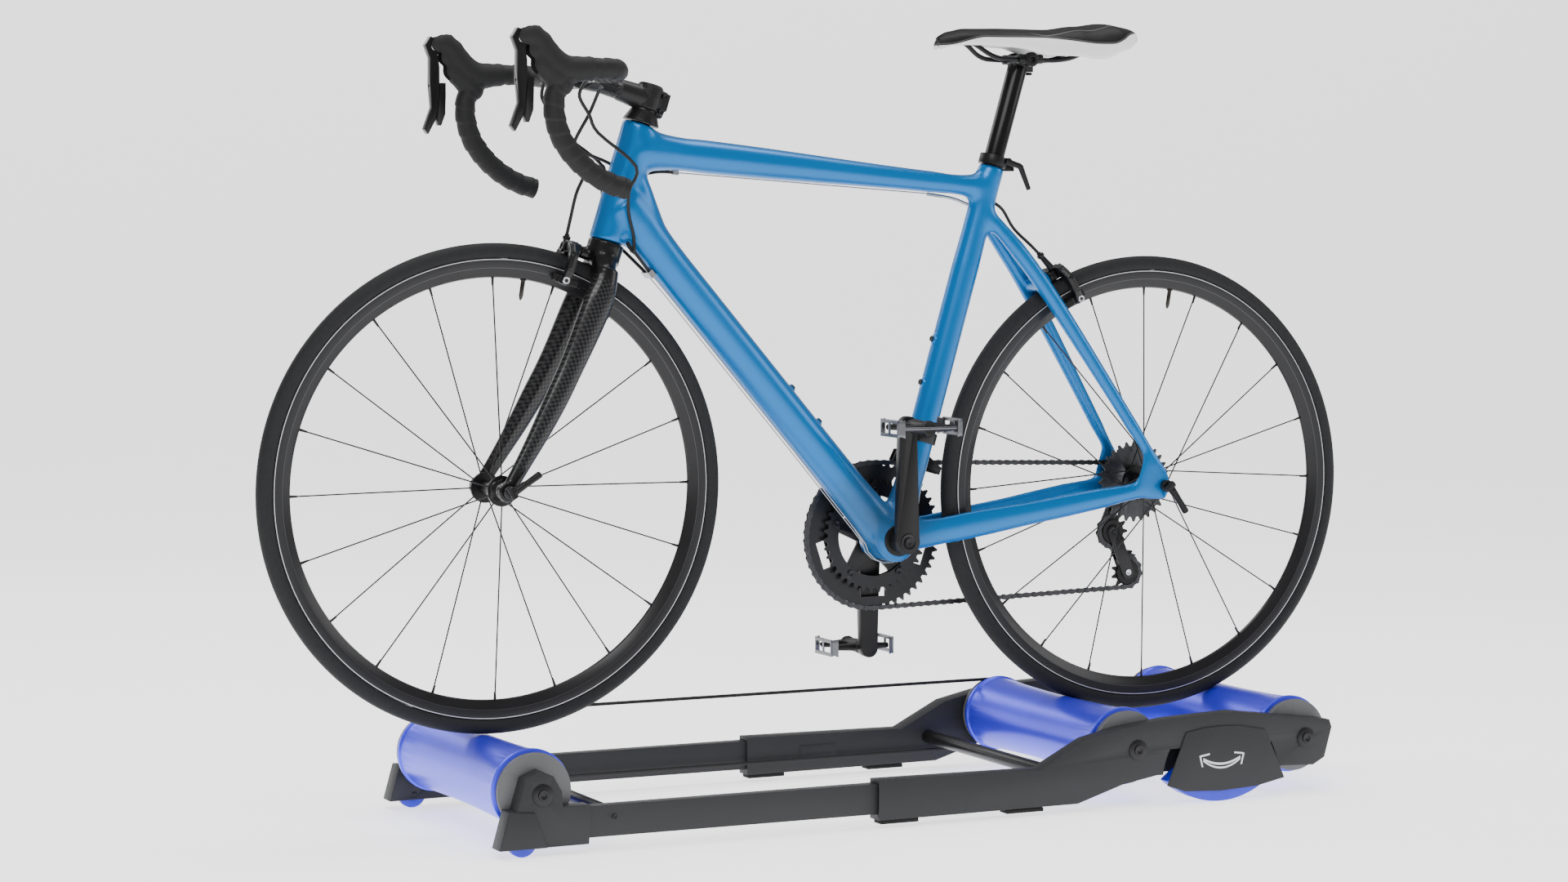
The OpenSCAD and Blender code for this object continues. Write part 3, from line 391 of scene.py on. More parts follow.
wall_plastic = dull("spark-grained plastic", (0.024, 0.0246, 0.0264), 0.52)
wall_plastic.worn(0.05, 9.0)
wall_plastic.bump(wall_plastic.noise(1400.0, 4.0, 0.7), 0.00012, 0.55)
smooth_plastic = dull("smooth dark plastic", (0.0144, 0.015, 0.0162), 0.42)
smooth_plastic.worn(0.05, 14.0)
smooth_plastic.bump(smooth_plastic.noise(2200.0, 2.0), 0.00005, 0.3)
black_steel = Finish("blackened steel", (0.018, 0.018, 0.0198), 0.34, metallic=0.6)
black_steel.worn(0.07, 90.0)
zinc = Finish("bright zinc", (0.62, 0.63, 0.66), 0.28, metallic=1.0)
zinc.worn(0.08, 120.0)
zinc.bump(zinc.noise(700.0, 3.0), 0.00004, 0.4)

from_cad("side_frames", wall_plastic, 0.0014)
from_cad("nose_frames", wall_plastic, 0.0014)
from_cad("base_rods", black_steel, 0.0008)
from_cad("nose_rods", black_steel, 0.0008)
from_cad("nose_covers", wall_plastic, 0.0012)

wall_low, wall_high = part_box("side_frames")
nose_low, nose_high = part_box("nose_frames")
DRUMS = ("front_drum", "middle_drum", "rear_drum")
drum_axle = {name: Vector(joint[name + "_spin"]["pos_m"]) for name in DRUMS}
WALL_SCREW_R = 0.0075
base_screws = []
nose_screws = []
for side in (-1, 1):
    face = Vector((0, side, 0))
    for name, group, skin in (("middle_drum", base_screws, wall_high.y),
                              ("rear_drum", base_screws, wall_high.y),
                              ("front_drum", nose_screws, nose_high.y)):
        at = drum_axle[name].copy()
        at.y = side * (skin - 0.0002)
        washer = disc(at, face, 0.0145, 0.0016, ((0.86, 0.0), (0.86, 0.0008)))
        group += [washer, screw(at + face * 0.002, face, WALL_SCREW_R, 0.0028)]
    for at_x in (0.10, 0.165):
        spot = (nose_low.x + at_x, side * (nose_high.y - 0.0050), 0.046)
        nose_screws.append(screw(spot, face, 0.0036, 0.0016))
settle(joined(base_screws, "wall screws"), black_steel, "base_rods", False)
settle(joined(nose_screws, "nose screws"), black_steel, "nose_rods", False)

# Each sleeve has a raised collar round its mouth outside and a raised oblong on its inner face.
sleeve_mouth = wall_low.x
grip_panels = []
for side in (-1, 1):
    for at_x, long_x, high_z, face_y, way in ((0.006, 0.012, 0.049, wall_high.y - 0.0025, side),
                                              (0.115, 0.060, 0.020, 0.2010, -side)):
        panel = primitive(bpy.ops.mesh.primitive_cube_add, size=1, scale=(long_x, 0.0022, high_z),
                          location=(sleeve_mouth + at_x, side * face_y, 0.040))
        out = Vector((0, way, 0))
        bpy.ops.object.mode_set(mode="EDIT")
        pick(lambda c, n: n.dot(out) > 0.9)
        bpy.ops.mesh.inset(thickness=0.0020, depth=0)
        bpy.ops.mesh.extrude_region_move(TRANSFORM_OT_translate={"value": out * 0.0006})
        bpy.ops.object.mode_set(mode="OBJECT")
        grip_panels.append(eased(panel, 0.0005))
settle(joined(grip_panels, "sleeve panels"), wall_plastic, "side_frames", False)

# ---------------------------------------------------------------- rocker covers, pads and wheels
# A screwed-on plastic cover hides each rocker. The rockers and the small front wheels are
# cast in blue urethane; the pads under the sleeves are black rubber with cross ribs.

cover_plastic = dull("cover plastic", (0.024, 0.0246, 0.0264), 0.52)
cover_plastic.worn(0.05, 9.0)
rocker_at = Vector(joint["rocker_wheel_left_rock"]["pos_m"])
along = cover_plastic.axis("X", rocker_at)
up = cover_plastic.axis("Z", rocker_at)
# two thin white arcs and an arrow head at each end: the rocking sign
sag = (along * along) * 9.0 + 0.0200
arc = cover_plastic.step((up - sag) ** 2.0, 0.0000030, 0.0000016)
low_sag = (along * along) * 12.0 + 0.0145
low_arc = cover_plastic.step((up - low_sag) ** 2.0, 0.0000022, 0.0000010)
span = cover_plastic.step(along * along, 0.00098, 0.00090)
away = (along * along) ** 0.5
tip_line = cover_plastic.step((up - (0.0330 - (away - 0.034) * 0.15)) ** 2.0, 0.0000022, 0.0000010)
tip_span = cover_plastic.step(away, 0.020, 0.021) * cover_plastic.step(away, 0.036, 0.035)
post = cover_plastic.step((away - 0.0345 - (up - 0.026) * 0.25) ** 2.0, 0.0000022, 0.0000010)
post_span = cover_plastic.step(up, 0.0165, 0.018) * cover_plastic.step(up, 0.034, 0.033)
sign = (arc + low_arc) * span + tip_line * tip_span + post * post_span
clean = cover_plastic.step(sign, 0.3, 0.7)
shade = cover_plastic.mix(cover_plastic.noise(9.0, 4.0), (0.021, 0.0215, 0.023), (0.027, 0.0275, 0.029))
cover_plastic.set("Base Color", cover_plastic.mix(clean, shade, (0.75, 0.76, 0.78)))
cover_plastic.bump(cover_plastic.noise(1400.0, 4.0, 0.7), 0.00012, 0.5)
from_cad("rocker_covers", cover_plastic, 0.0012)

pad_rubber = dull("pad rubber", (0.0132, 0.0132, 0.0138), 0.8)
ribs = pad_rubber.node("ShaderNodeTexWave", {"wave_type": "BANDS", "bands_direction": "X"},
                       {"Vector": pad_rubber.at, "Scale": 60.0, "Distortion": 0.0})
pad_rubber.bump(ribs + pad_rubber.noise(800.0) * 0.3, 0.0004, 0.6)
from_cad("grip_pads", pad_rubber, 0.0008)

urethane = Finish("blue urethane", (0.012, 0.020, 0.60), 0.38, subsurface_weight=0.05)
urethane.worn(0.08, 40.0)
urethane.bump(urethane.noise(500.0, 3.0), 0.00008, 0.4)
for side in ("left", "right"):
    from_cad("foot_wheel_" + side, urethane, 0.0018)
    from_cad("rocker_wheel_" + side, urethane, 0.0016)

# ---------------------------------------------------------------- drums
# Spun blue drums, a little waisted so a wheel runs to the middle, with a rolled lip and a
# stepped grey plastic cap at each end. Axles run through the caps.

drum_blue = Finish("satin drum enamel", (0.050, 0.050, 0.92), 0.32, metallic=0.45, coat_weight=0.15,
                   coat_roughness=0.18)
drum_blue.worn(0.05, 7.0)
turning_marks = drum_blue.noise(1.0, 2.0, 0.5, at=drum_blue.node(
    "ShaderNodeMapping", {}, {"Vector": drum_blue.at, "Scale": (4.0, 900.0, 4.0)}))
drum_blue.bump(turning_marks, 0.00003, 0.25)
cap_grey = Finish("grey cap plastic", (0.105, 0.108, 0.113), 0.46)
cap_grey.worn(0.06, 30.0)
cap_grey.bump(cap_grey.noise(1600.0, 3.0), 0.00007, 0.4)
CAP_START = 0.1865
for name in DRUMS:
    drum = from_cad(name, drum_blue, 0.0007)
    drum.data.materials.append(cap_grey.material)
    for face in drum.data.polygons:
        if abs(face.center.y) > CAP_START:
            face.material_index = 1
    rings = []
    for side in (-1, 1):
        at = drum_axle[name].copy()
        at.y = side * CAP_START
        rings.append(disc(at, (0, side, 0), 0.0505, 0.0052,
                          ((0.97, 0.0), (0.97, 0.0012), (0.93, 0.0), (0.93, 0.001))))
    settle(joined(rings, name + " cap steps"), cap_grey, name, False)

belt_rubber = dull("belt rubber", (0.0108, 0.0108, 0.0114), 0.55)
belt_rubber.worn(0.08, 200.0)
from_cad("drive_belt", belt_rubber, 0.0009)

# ---------------------------------------------------------------- frame
# Moulded frame in azure enamel: head, top, down and seat tubes and the bottom bracket run into
# each other through smooth fillets, and the stays and dropouts are laid up with them as one piece.

steer_at = Vector(joint["steering"]["pos_m"])
steer_up = Vector(joint["steering"]["axis"]).normalized()
crank_at = Vector(joint["crank_spin"]["pos_m"])
front_axle_at = Vector(joint["front_wheel_spin"]["pos_m"])
rear_axle_at = Vector(joint["rear_wheel_spin"]["pos_m"])
seat_up = Vector(joint["seatpost_slide"]["axis"]).normalized()
seat_foot = crank_at + Vector((0.011, 0, 0))
SEAT_TUBE = 0.553
HEAD_TUBE = 0.170
top_front = steer_at + steer_up * 0.133
top_rear = seat_foot + seat_up * 0.520
down_front = steer_at + steer_up * 0.058


def tube(a, b, ra, rb, vertices=48):
    """A tapered tube from a to b, closed at both ends."""
    a, b = Vector(a), Vector(b)
    return primitive(bpy.ops.mesh.primitive_cone_add, vertices=vertices, radius1=ra, radius2=rb,
                     depth=(b - a).length, location=(a + b) / 2, rotation=turned(b - a))


def melted(parts, name, voxel, passes, ease=(), ease_passes=0, reach=0.07, hold=False):
    """Parts run together into one skin. The skin is eased all over by passes, and by
    ease_passes more around each point of ease, where the moulding has its large fillets.
    With hold each pass is followed by one outwards, so thin tubes keep their size."""
    piece = joined(parts, name)
    piece.data.remesh_voxel_size = voxel
    piece.data.remesh_voxel_adaptivity = 0
    bpy.ops.object.voxel_remesh()
    bpy.ops.object.mode_set(mode="EDIT")
    bpy.ops.mesh.separate(type="LOOSE")
    bpy.ops.object.mode_set(mode="OBJECT")
    shells = sorted(bpy.context.selected_objects, key=lambda o: len(o.data.vertices))
    piece = shells.pop()
    for hollow in shells:
        bpy.data.objects.remove(hollow)
    piece.name = name
    for factor in (0.5, -0.515) * passes if hold else (0.5,) * passes:
        modified(piece, "SMOOTH", factor=factor)
    if ease:
        group = piece.vertex_groups.new(name="fillets")
        for vertex in piece.data.vertices:
            near = min((vertex.co - point).length for point in ease)
            weight = max(0.0, min(1.0, 1.6 - 1.6 * near / reach))
            if weight > 0:
                group.add([vertex.index], weight, "REPLACE")
        modified(piece, "SMOOTH", factor=0.5, iterations=ease_passes, vertex_group="fillets")
        piece.vertex_groups.clear()
    alone(piece)
    bpy.ops.object.shade_smooth()
    return piece


def swept(points, radius_at, sides, name, up=(0, 1, 0.2)):
    """A closed tube along points; radius_at(distance, angle) gives its skin."""
    rings = len(points)
    vertices = []
    faces = []
    up = Vector(up)
    distance = 0.0
    for i, point in enumerate(points):
        way = (points[min(i + 1, rings - 1)] - points[max(i - 1, 0)]).normalized()
        up = (up - way * up.dot(way)).normalized()
        beside = way.cross(up)
        if i:
            distance += (point - points[i - 1]).length
        for k in range(sides):
            angle = 2 * math.pi * k / sides
            r = radius_at(distance, angle)
            vertices.append(point + (up * math.cos(angle) + beside * math.sin(angle)) * r)
    for i in range(rings - 1):
        for k in range(sides):
            n = (k + 1) % sides
            faces.append((i * sides + k, i * sides + n, (i + 1) * sides + n, (i + 1) * sides + k))
    faces.append(tuple(range(sides))[::-1])
    faces.append(tuple((rings - 1) * sides + k for k in range(sides)))
    return outward(built(name, vertices, faces))


def curve_through(points, spacing):
    """Evenly spaced points on a smooth curve through the given ones."""
    fine = []
    last = len(points) - 1
    for i in range(last):
        a, b, c, d = (points[max(i - 1, 0)], points[i], points[i + 1], points[min(i + 2, last)])
        for k in range(60):
            t = k / 60
            fine.append(0.5 * ((2 * b) + (c - a) * t + (2 * a - 5 * b + 4 * c - d) * t * t
                               + (3 * b - a - 3 * c + d) * t ** 3))
    fine.append(points[-1])
    even = [fine[0]]
    gap = 0.0
    for a, b in zip(fine, fine[1:]):
        gap += (b - a).length
        if gap >= spacing:
            even.append(b)
            gap = 0.0
    if (even[-1] - fine[-1]).length > 0.3 * spacing:
        even.append(fine[-1])
    return even


def blend_of(stops, t):
    """A smooth curve through (place, value) stops."""
    for (t0, v0), (t1, v1) in zip(stops, stops[1:]):
        if t <= t1:
            s = (t - t0) / (t1 - t0)
            s = s * s * (3 - 2 * s)
            return v0 + (v1 - v0) * s
    return stops[-1][1]


def limb(centres, stops, name="limb"):
    """An oval tube through centres; stops are (share of the length, half width, half depth)."""
    way = curve_through([Vector(centre) for centre in centres], 0.005)
    total = sum((b - a).length for a, b in zip(way, way[1:]))
    widths = [(share, wide) for share, wide, deep in stops]
    depths = [(share, deep) for share, wide, deep in stops]

    def skin(distance, angle):
        wide = blend_of(widths, distance / total)
        deep = blend_of(depths, distance / total)
        return wide * deep / math.hypot(deep * math.cos(angle), wide * math.sin(angle))

    return swept(way, skin, 40, name, (0, 1, 0))


def slab(outline, at, low_y, high_y, name="slab"):
    """A flat plate with an outline of (x, z) round at, from low_y to high_y."""
    vertices = [(at.x + x, y, at.z + z) for y in (low_y, high_y) for x, z in outline]
    count = len(outline)
    faces = [tuple(range(count)), tuple(range(count, 2 * count))[::-1]]
    faces += [(k, (k + 1) % count, (k + 1) % count + count, k + count) for k in range(count)]
    return outward(built(name, vertices, faces))


top_way = (top_rear - top_front).normalized()
down_way = (crank_at - down_front).normalized()
across = Vector((0, 1, 0))
seat_top = seat_foot + seat_up * SEAT_TUBE
frame_parts = [
    limb((steer_at, steer_at + steer_up * HEAD_TUBE), ((0, 0.0252, 0.0252), (1, 0.0250, 0.0250))),
    limb((top_front, top_rear),
         ((0, 0.0290, 0.0300), (0.15, 0.0215, 0.0232), (0.9, 0.0138, 0.0150), (1, 0.0190, 0.0200))),
    limb((down_front, crank_at),
         ((0, 0.0320, 0.0345), (0.2, 0.0262, 0.0270), (0.82, 0.0268, 0.0270), (1, 0.0320, 0.0320))),
    limb((seat_foot, seat_top), ((0, 0.0290, 0.0300), (0.16, 0.0198, 0.0198), (1, 0.0195, 0.0195))),
    tube(crank_at - across * 0.034, crank_at + across * 0.034, 0.0320, 0.0320),
    tube(crank_at - across * 0.040, crank_at + across * 0.040, 0.0210, 0.0210),
    # a web fills the corner between top and down tube
    tube(steer_at + steer_up * 0.100 + top_way * 0.006, down_front + down_way * 0.085, 0.0200, 0.0240),
]
for mount in record["mounts"]:
    at = Vector(mount["pos_m"])
    out = Vector(mount["axis"])
    rise = 0.0058 if mount["name"].startswith("seat") else 0.0022
    frame_parts.append(tube(at - out * 0.008, at + out * rise, 0.0066, 0.0062, 32))
DROPOUT = ((-0.036, 0.046), (-0.012, 0.047), (0.005, 0.025), (0.014, 0.001), (0.007, -0.013),
           (0.003, -0.021), (-0.020, -0.023), (-0.040, -0.014), (-0.047, 0.009))
HANGER = ((-0.006, -0.012), (0.010, -0.012), (0.010, -0.036), (-0.008, -0.036))
bridge_out = Vector((0.8581, 0, 0.5135))
bridge_up = Vector((-0.5135, 0, 0.8581))
bridge_at = rear_axle_at + bridge_up * 0.3436
for side in (-1, 1):
    frame_parts.append(limb((
        crank_at + Vector((0.020, 0.0235 * side, 0.0033)), crank_at + Vector((0.112, 0.0258 * side, 0.0149)),
        crank_at + Vector((0.245, 0.0412 * side, 0.0360)), crank_at + Vector((0.380, 0.0568 * side, 0.0590)),
        rear_axle_at + Vector((-0.010, 0.0632 * side, -0.002))),
        ((0, 0.0085, 0.0235), (0.23, 0.0078, 0.0195), (0.56, 0.0084, 0.0163), (0.9, 0.0088, 0.0140),
         (1, 0.0030, 0.0190))))
    frame_parts.append(limb((
        seat_foot + seat_up * 0.484 + Vector((0.004, 0.0100 * side, 0)),
        rear_axle_at + Vector((-0.183, 0.0275 * side, 0.293)),
        rear_axle_at + Vector((-0.012, 0.0612 * side, 0.030))),
        ((0, 0.0105, 0.0125), (0.28, 0.0108, 0.0118), (0.9, 0.0072, 0.0092), (1, 0.0058, 0.0110))))
    frame_parts.append(slab(DROPOUT, rear_axle_at, 0.0605 * side, 0.0660 * side))
frame_parts.append(slab(HANGER, rear_axle_at, 0.0605, 0.0660))
frame_parts.append(tube(bridge_at - across * 0.027 - bridge_out * 0.003,
                        bridge_at + across * 0.027 - bridge_out * 0.003, 0.0090, 0.0090))
frame_parts.append(tube(bridge_at - bridge_out * 0.006, bridge_at + bridge_out * 0.017, 0.0095, 0.0090))
fillet_points = [top_front + top_way * 0.03, down_front + down_way * 0.045, top_rear - top_way * 0.015,
                 crank_at + Vector((-0.03, 0, 0.02)), crank_at + Vector((0.035, 0, 0.02)),
                 seat_foot + seat_up * 0.475, rear_axle_at + Vector((-0.03, 0.062, 0.012)),
                 rear_axle_at + Vector((-0.03, -0.062, 0.012))]
frame_skin = melted(frame_parts, "frame skin", 0.0024, 8, fillet_points, 110, 0.075, hold=True)

azure = Finish("azure enamel", (0.0003, 0.135, 0.40), 0.33, coat_weight=0.2, coat_roughness=0.16,
               metallic=0.4, specular_ior_level=0.3)
flow = azure.noise(3.0, 2.0)
fine = azure.noise(2600.0, 1.0)
# Painted shade: round the bottom bracket the paint darkens in blotches to a dark blue-grey, standing in for
# the shade there and the reflection of the cranks; the roughness rises with it.
painted_shade_at = crank_at + Vector((-0.012, -0.03, 0.055))
from_bb = azure.node("ShaderNodeVectorMath", {"operation": "DISTANCE"},
                     {0: azure.at, 1: painted_shade_at}, out="Value")
painted_shade = azure.step(from_bb, 0.120, 0.020) * (0.35 + azure.noise(28.0, 4.0) * 0.75)
paint = azure.mix(flow, (0.0002, 0.125, 0.375), (0.0005, 0.146, 0.425))
# the painted shade and reflection round the bottom bracket, mixed into the paint colour
azure.set("Base Color", azure.mix(painted_shade * 0.8, paint, (0.022, 0.048, 0.080)))
azure.set("Roughness", 0.29 + flow * 0.07 + painted_shade * 0.2)
azure.bump(fine * 0.4 + azure.noise(160.0, 1.0), 0.000035, 0.35)
settle(frame_skin, azure, "front_triangle")
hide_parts("rear_triangle")

# The rear brake bolt stands in the bridge, with its nut on the end.
bolt_parts = [tube(bridge_at + bridge_out * 0.012, bridge_at + bridge_out * 0.042, 0.0040, 0.0040, 24),
              disc(bridge_at + bridge_out * 0.0408, bridge_out, 0.0080, 0.0050,
                   ((0.7, 0.0), (0.7, -0.0015)), 6, 0.0005)]
settle(joined(bolt_parts, "rear brake bolt"), black_steel, "rear_triangle", False)

# Bottle screws: small cap screws close the four threaded bosses.
boss_screws = []
for mount in record["mounts"]:
    out = Vector(mount["axis"])
    at = Vector(mount["pos_m"])
    rise = 0.0062 if mount["name"].startswith("seat") else 0.0026
    boss_screws.append(screw(at + out * rise, out, 0.0042, 0.0022))
settle(joined(boss_screws, "bottle screws"), black_steel, "front_triangle", False)

# ---------------------------------------------------------------- bottom bracket cups
# Black splined cups press into the ends of the shell, one on each side, and the crank
# spindle turns in them.

satin_black = dull("satin black anodising", (0.0102, 0.0102, 0.0108), 0.36, metallic=0.35)
satin_black.worn(0.06, 60.0)
satin_black.bump(satin_black.noise(1500.0, 2.0), 0.00003, 0.3)
cups = []
for side in (-1, 1):
    at = crank_at + Vector((0, side * 0.0345, 0))
    cups.append(disc(at, (0, side, 0), 0.0225, 0.0052, ((0.9, 0.0), (0.9, 0.0008), (0.72, 0.0)), 36, 0.0006))
settle(joined(cups, "bottom bracket cups"), satin_black, "front_triangle", False)

# ---------------------------------------------------------------- seat clamp, seatpost
# Turned clamp with a cam lever on its left; the post is satin tube with a two-bolt head.

from_cad("seat_clamp", satin_black, 0.0008)
clamp_at = seat_foot + seat_up * (SEAT_TUBE + 0.006)
# each row of the lever: where it starts, where it ends, its radius at both and its facets
LEVER_ROWS = (((0.020, -0.013, 0.000), (0.020, 0.013, 0.000), 0.0055, 0.0055, 24),
              ((0.012, -0.0165, 0.001), (0.036, -0.0180, -0.007), 0.0046, 0.0042, 20),
              ((0.035, -0.0180, -0.006), (0.049, -0.0185, -0.040), 0.0044, 0.0034, 20))
lever_parts = [tube(clamp_at + Vector(a), clamp_at + Vector(b), *rest) for a, b, *rest in LEVER_ROWS]
clamp_lever = melted(lever_parts, "seat clamp lever", 0.0008, 8)
settle(clamp_lever, satin_black, "seat_clamp", False)

post_black = dull("polished black post", (0.0084, 0.0084, 0.009), 0.24, metallic=0.4)
post_black.worn(0.05, 50.0)
from_cad("seatpost", post_black, 0.0009)
post_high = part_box("seatpost")[1]
rail_x = (seat_foot + seat_up * 0.713).x + 0.004
head_parts = []
for side in (-1, 1):
    head_parts.append(screw((rail_x + side * 0.011, 0, post_high.z - 0.0255), (0, 0, -1), 0.0045, 0.004))
    head_parts.append(disc((rail_x, side * 0.0215, post_high.z - 0.0075), (0, side, 0), 0.0105, 0.0088,
                           ((0.8, 0.0), (0.8, 0.001), (0.35, 0.0), (0.35, -0.003)), 32, 0.0006))
settle(joined(head_parts, "seatpost head"), satin_black, "seatpost", False)

# ---------------------------------------------------------------- saddle
# Race saddle: a moulded shell with thin foam, a black grained cover with smooth side panels,
# a white lower skirt and a fine piped line, on two steel rails.

seat_low, seat_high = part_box("saddle")
nose_x, tail_x = seat_low.x, seat_high.x
seat_long = tail_x - nose_x
seat = primitive(bpy.ops.mesh.primitive_grid_add, x_subdivisions=40, y_subdivisions=24, size=1,
                 location=(0, 0, 0))
HALF_WIDTH = ((0.0, 0.012), (0.05, 0.019), (0.30, 0.023), (0.50, 0.036), (0.72, 0.058), (0.88, 0.066),
              (0.97, 0.056), (1.0, 0.040))
CROWN = ((0.0, -0.0240), (0.05, -0.0160), (0.14, -0.0110), (0.35, -0.0100), (0.56, -0.0105), (0.72, -0.0050),
         (0.86, -0.0004), (0.94, -0.0040), (1.0, -0.0120))
SIDE_DROP = ((0.0, 0.014), (0.15, 0.018), (0.35, 0.021), (0.56, 0.031), (0.80, 0.042), (0.92, 0.030),
             (1.0, 0.010))
KNEE = 0.62
DISH = 0.0035
for vertex in seat.data.vertices:
    t = vertex.co.x + 0.5
    half = blend_of(HALF_WIDTH, t)
    drop = blend_of(SIDE_DROP, t)
    shoulder = min(half, drop) * 0.95
    flat = max(0.0, half - shoulder)
    aside = abs(vertex.co.y * 2)
    if aside < KNEE:
        y = flat * (aside / KNEE)
        z = -DISH * (aside / KNEE) ** 2
    else:
        turn = (aside - KNEE) / (1 - KNEE) * math.radians(98)
        y = flat + shoulder * math.sin(turn)
        z = -DISH - drop * (1 - math.cos(turn))
    vertex.co.x = nose_x + 0.0015 + t * (seat_long - 0.003)
    vertex.co.y = math.copysign(y, vertex.co.y)
    vertex.co.z = seat_high.z + blend_of(CROWN, t) + z
seat.name = "saddle cover"
modified(seat, "SOLIDIFY", thickness=0.0075, offset=-1)
modified(seat, "SUBSURF", levels=2, render_levels=2)
bpy.ops.object.shade_smooth()
leather = Finish("saddle leather", (0.0096, 0.0096, 0.0102), 0.50, specular_ior_level=0.12)
seat_mid = Vector(((nose_x + tail_x) / 2, 0, seat_high.z))
sx = leather.axis("X", seat_mid)
sy = leather.axis("Y", seat_mid)
sz = leather.axis("Z", seat_mid)
grain = leather.node("ShaderNodeTexVoronoi", {"feature": "DISTANCE_TO_EDGE"},
                     {"Vector": leather.at, "Scale": 900.0})
side_of = (sy * sy) ** 0.5
# the skirt is white below a line that rises towards the nose
skirt_line = -0.0235 - leather.step(sx, -0.08, -0.15) * 0.0125 - leather.step(sx, 0.0, 0.09) * 0.0085
skirt_line = skirt_line + leather.step(sx, 0.10, 0.145) * 0.016
skirt = leather.step(sz - skirt_line, 0.0008, -0.0006)
piping = leather.step(((sz - skirt_line - 0.0022) ** 2.0), 0.0000006, 0.0000002)
panel = leather.step(side_of - (0.010 + leather.step(sx, -0.09, 0.10) * 0.026), 0.0, 0.0012)
seam = side_of - (0.0105 + leather.step(sx, -0.09, 0.10) * 0.026)
outline = leather.step(seam ** 2.0, 0.0000008, 0.0000003)
outline = outline * leather.step(sx, -0.02, 0.0) * leather.step(sx, 0.12, 0.11)
black = leather.mix(leather.noise(220.0, 4.0), (0.007, 0.007, 0.0075), (0.012, 0.012, 0.0125))
marked = leather.mix(outline * 0.5 + piping * 0.3, black, (0.22, 0.22, 0.23))
leather.set("Base Color", leather.mix(skirt, marked, (0.80, 0.80, 0.80)))
leather.set("Roughness", 0.46 + leather.noise(60.0, 3.0) * 0.1 - panel * 0.06 - skirt * 0.12)
leather.bump(leather.step(grain, 0.0, 0.25) * 0.4 * (1.0 - skirt) - outline * 0.8, 0.00018, 0.6)
settle(seat, leather, "saddle")

rail_steel = Finish("saddle rail", (0.018, 0.018, 0.0192), 0.30, metallic=0.8)
rail_steel.worn(0.06, 120.0)
rail_z = post_high.z - 0.0075


def bent_rod(points, radius, name, sides=5):
    """A round rod bent smoothly through the points."""
    path = bpy.data.curves.new(name, "CURVE")
    path.dimensions = "3D"
    spline = path.splines.new("BEZIER")
    spline.bezier_points.add(len(points) - 1)
    for knot, point in zip(spline.bezier_points, points):
        knot.co = point
        knot.handle_left_type = knot.handle_right_type = "AUTO"
    path.resolution_u = 8
    path.bevel_depth = radius
    path.bevel_resolution = sides
    path.use_fill_caps = True
    rod = bpy.data.objects.new(name, path)
    bpy.context.collection.objects.link(rod)
    alone(rod)
    bpy.ops.object.convert(target="MESH")
    rod = outward(bpy.context.object, 0.00001)
    bpy.ops.object.shade_smooth_by_angle(angle=math.radians(50))
    return rod


rails = []
for side in (-1, 1):
    rails.append(bent_rod([
        (nose_x + 0.028, side * 0.008, seat_high.z - 0.026),
        (nose_x + 0.050, side * 0.011, seat_high.z - 0.030),
        (rail_x - 0.055, side * 0.0205, rail_z + 0.003), (rail_x - 0.030, side * 0.022, rail_z),
        (rail_x, side * 0.022, rail_z), (rail_x + 0.050, side * 0.022, rail_z),
        (rail_x + 0.078, side * 0.024, rail_z + 0.007), (rail_x + 0.112, side * 0.030, seat_high.z - 0.026)],
        0.0035, "rail"))
settle(joined(rails, "saddle rails"), rail_steel, "saddle", False)

# ---------------------------------------------------------------- fork
# Carbon fork: twill cloth shows through clear lacquer on the blades, the crown and tips are
# glossy black. The steerer runs up through the head tube.

tilt = Matrix.Translation(steer_at) @ Matrix.Rotation(math.atan2(steer_up.x, steer_up.z), 4, "Y")


def on_steerer(x, y, z):
    """A point given along the steering axis: x back, y to the right, z up from the lower bearing."""
    return tilt @ Vector((x, y, z))


fork_parts = [tube(on_steerer(0, 0, -0.030), on_steerer(0, 0, -0.0005), 0.0250, 0.0250),
              tube(on_steerer(-0.014, 0, -0.0243), on_steerer(-0.0344, 0, -0.0243), 0.0090, 0.0090)]
for side in (-1, 1):
    fork_parts.append(tube(on_steerer(0, side * 0.004, -0.018), on_steerer(-0.001, side * 0.029, -0.056),
                           0.0190, 0.0165))
    fork_parts.append(limb((
        on_steerer(0.002, side * 0.0270, -0.038), on_steerer(0.000, side * 0.0335, -0.075),
        on_steerer(-0.013, side * 0.0395, -0.170), on_steerer(-0.033, side * 0.0465, -0.270),
        on_steerer(-0.058, side * 0.0530, -0.366)),
        ((0, 0.0125, 0.0165), (0.14, 0.0132, 0.0215), (0.5, 0.0112, 0.0175), (1, 0.0070, 0.0105))))
    fork_parts.append(tube(on_steerer(-0.059, side * 0.047, -0.369), on_steerer(-0.059, side * 0.060, -0.369),
                           0.0140, 0.0135))
fork = melted(fork_parts, "fork blades and crown", 0.0017, 7, [on_steerer(0, 0, -0.035)], 30, 0.060)
carbon = Finish("lacquered carbon cloth", (0.006, 0.006, 0.0065), 0.30, coat_weight=0.25, coat_roughness=0.10,
                specular_ior_level=0.2)
blade_x = carbon.axis("X", steer_at)
blade_y = carbon.axis("Y", steer_at)
blade_z = carbon.axis("Z", steer_at)
lean_x = blade_x * steer_up.z - blade_z * steer_up.x
lean_z = blade_x * steer_up.x + blade_z * steer_up.z
CLOTH = 0.0030
warp = carbon.waves(lean_x + lean_z * 0.5 + blade_y, CLOTH)
weft = carbon.waves(lean_z - lean_x * 0.5, CLOTH)
twill = carbon.step(warp - weft, -0.0006, 0.0006)
cloth = carbon.step(lean_z, -0.045, -0.060) * carbon.step(lean_z, -0.345, -0.325)
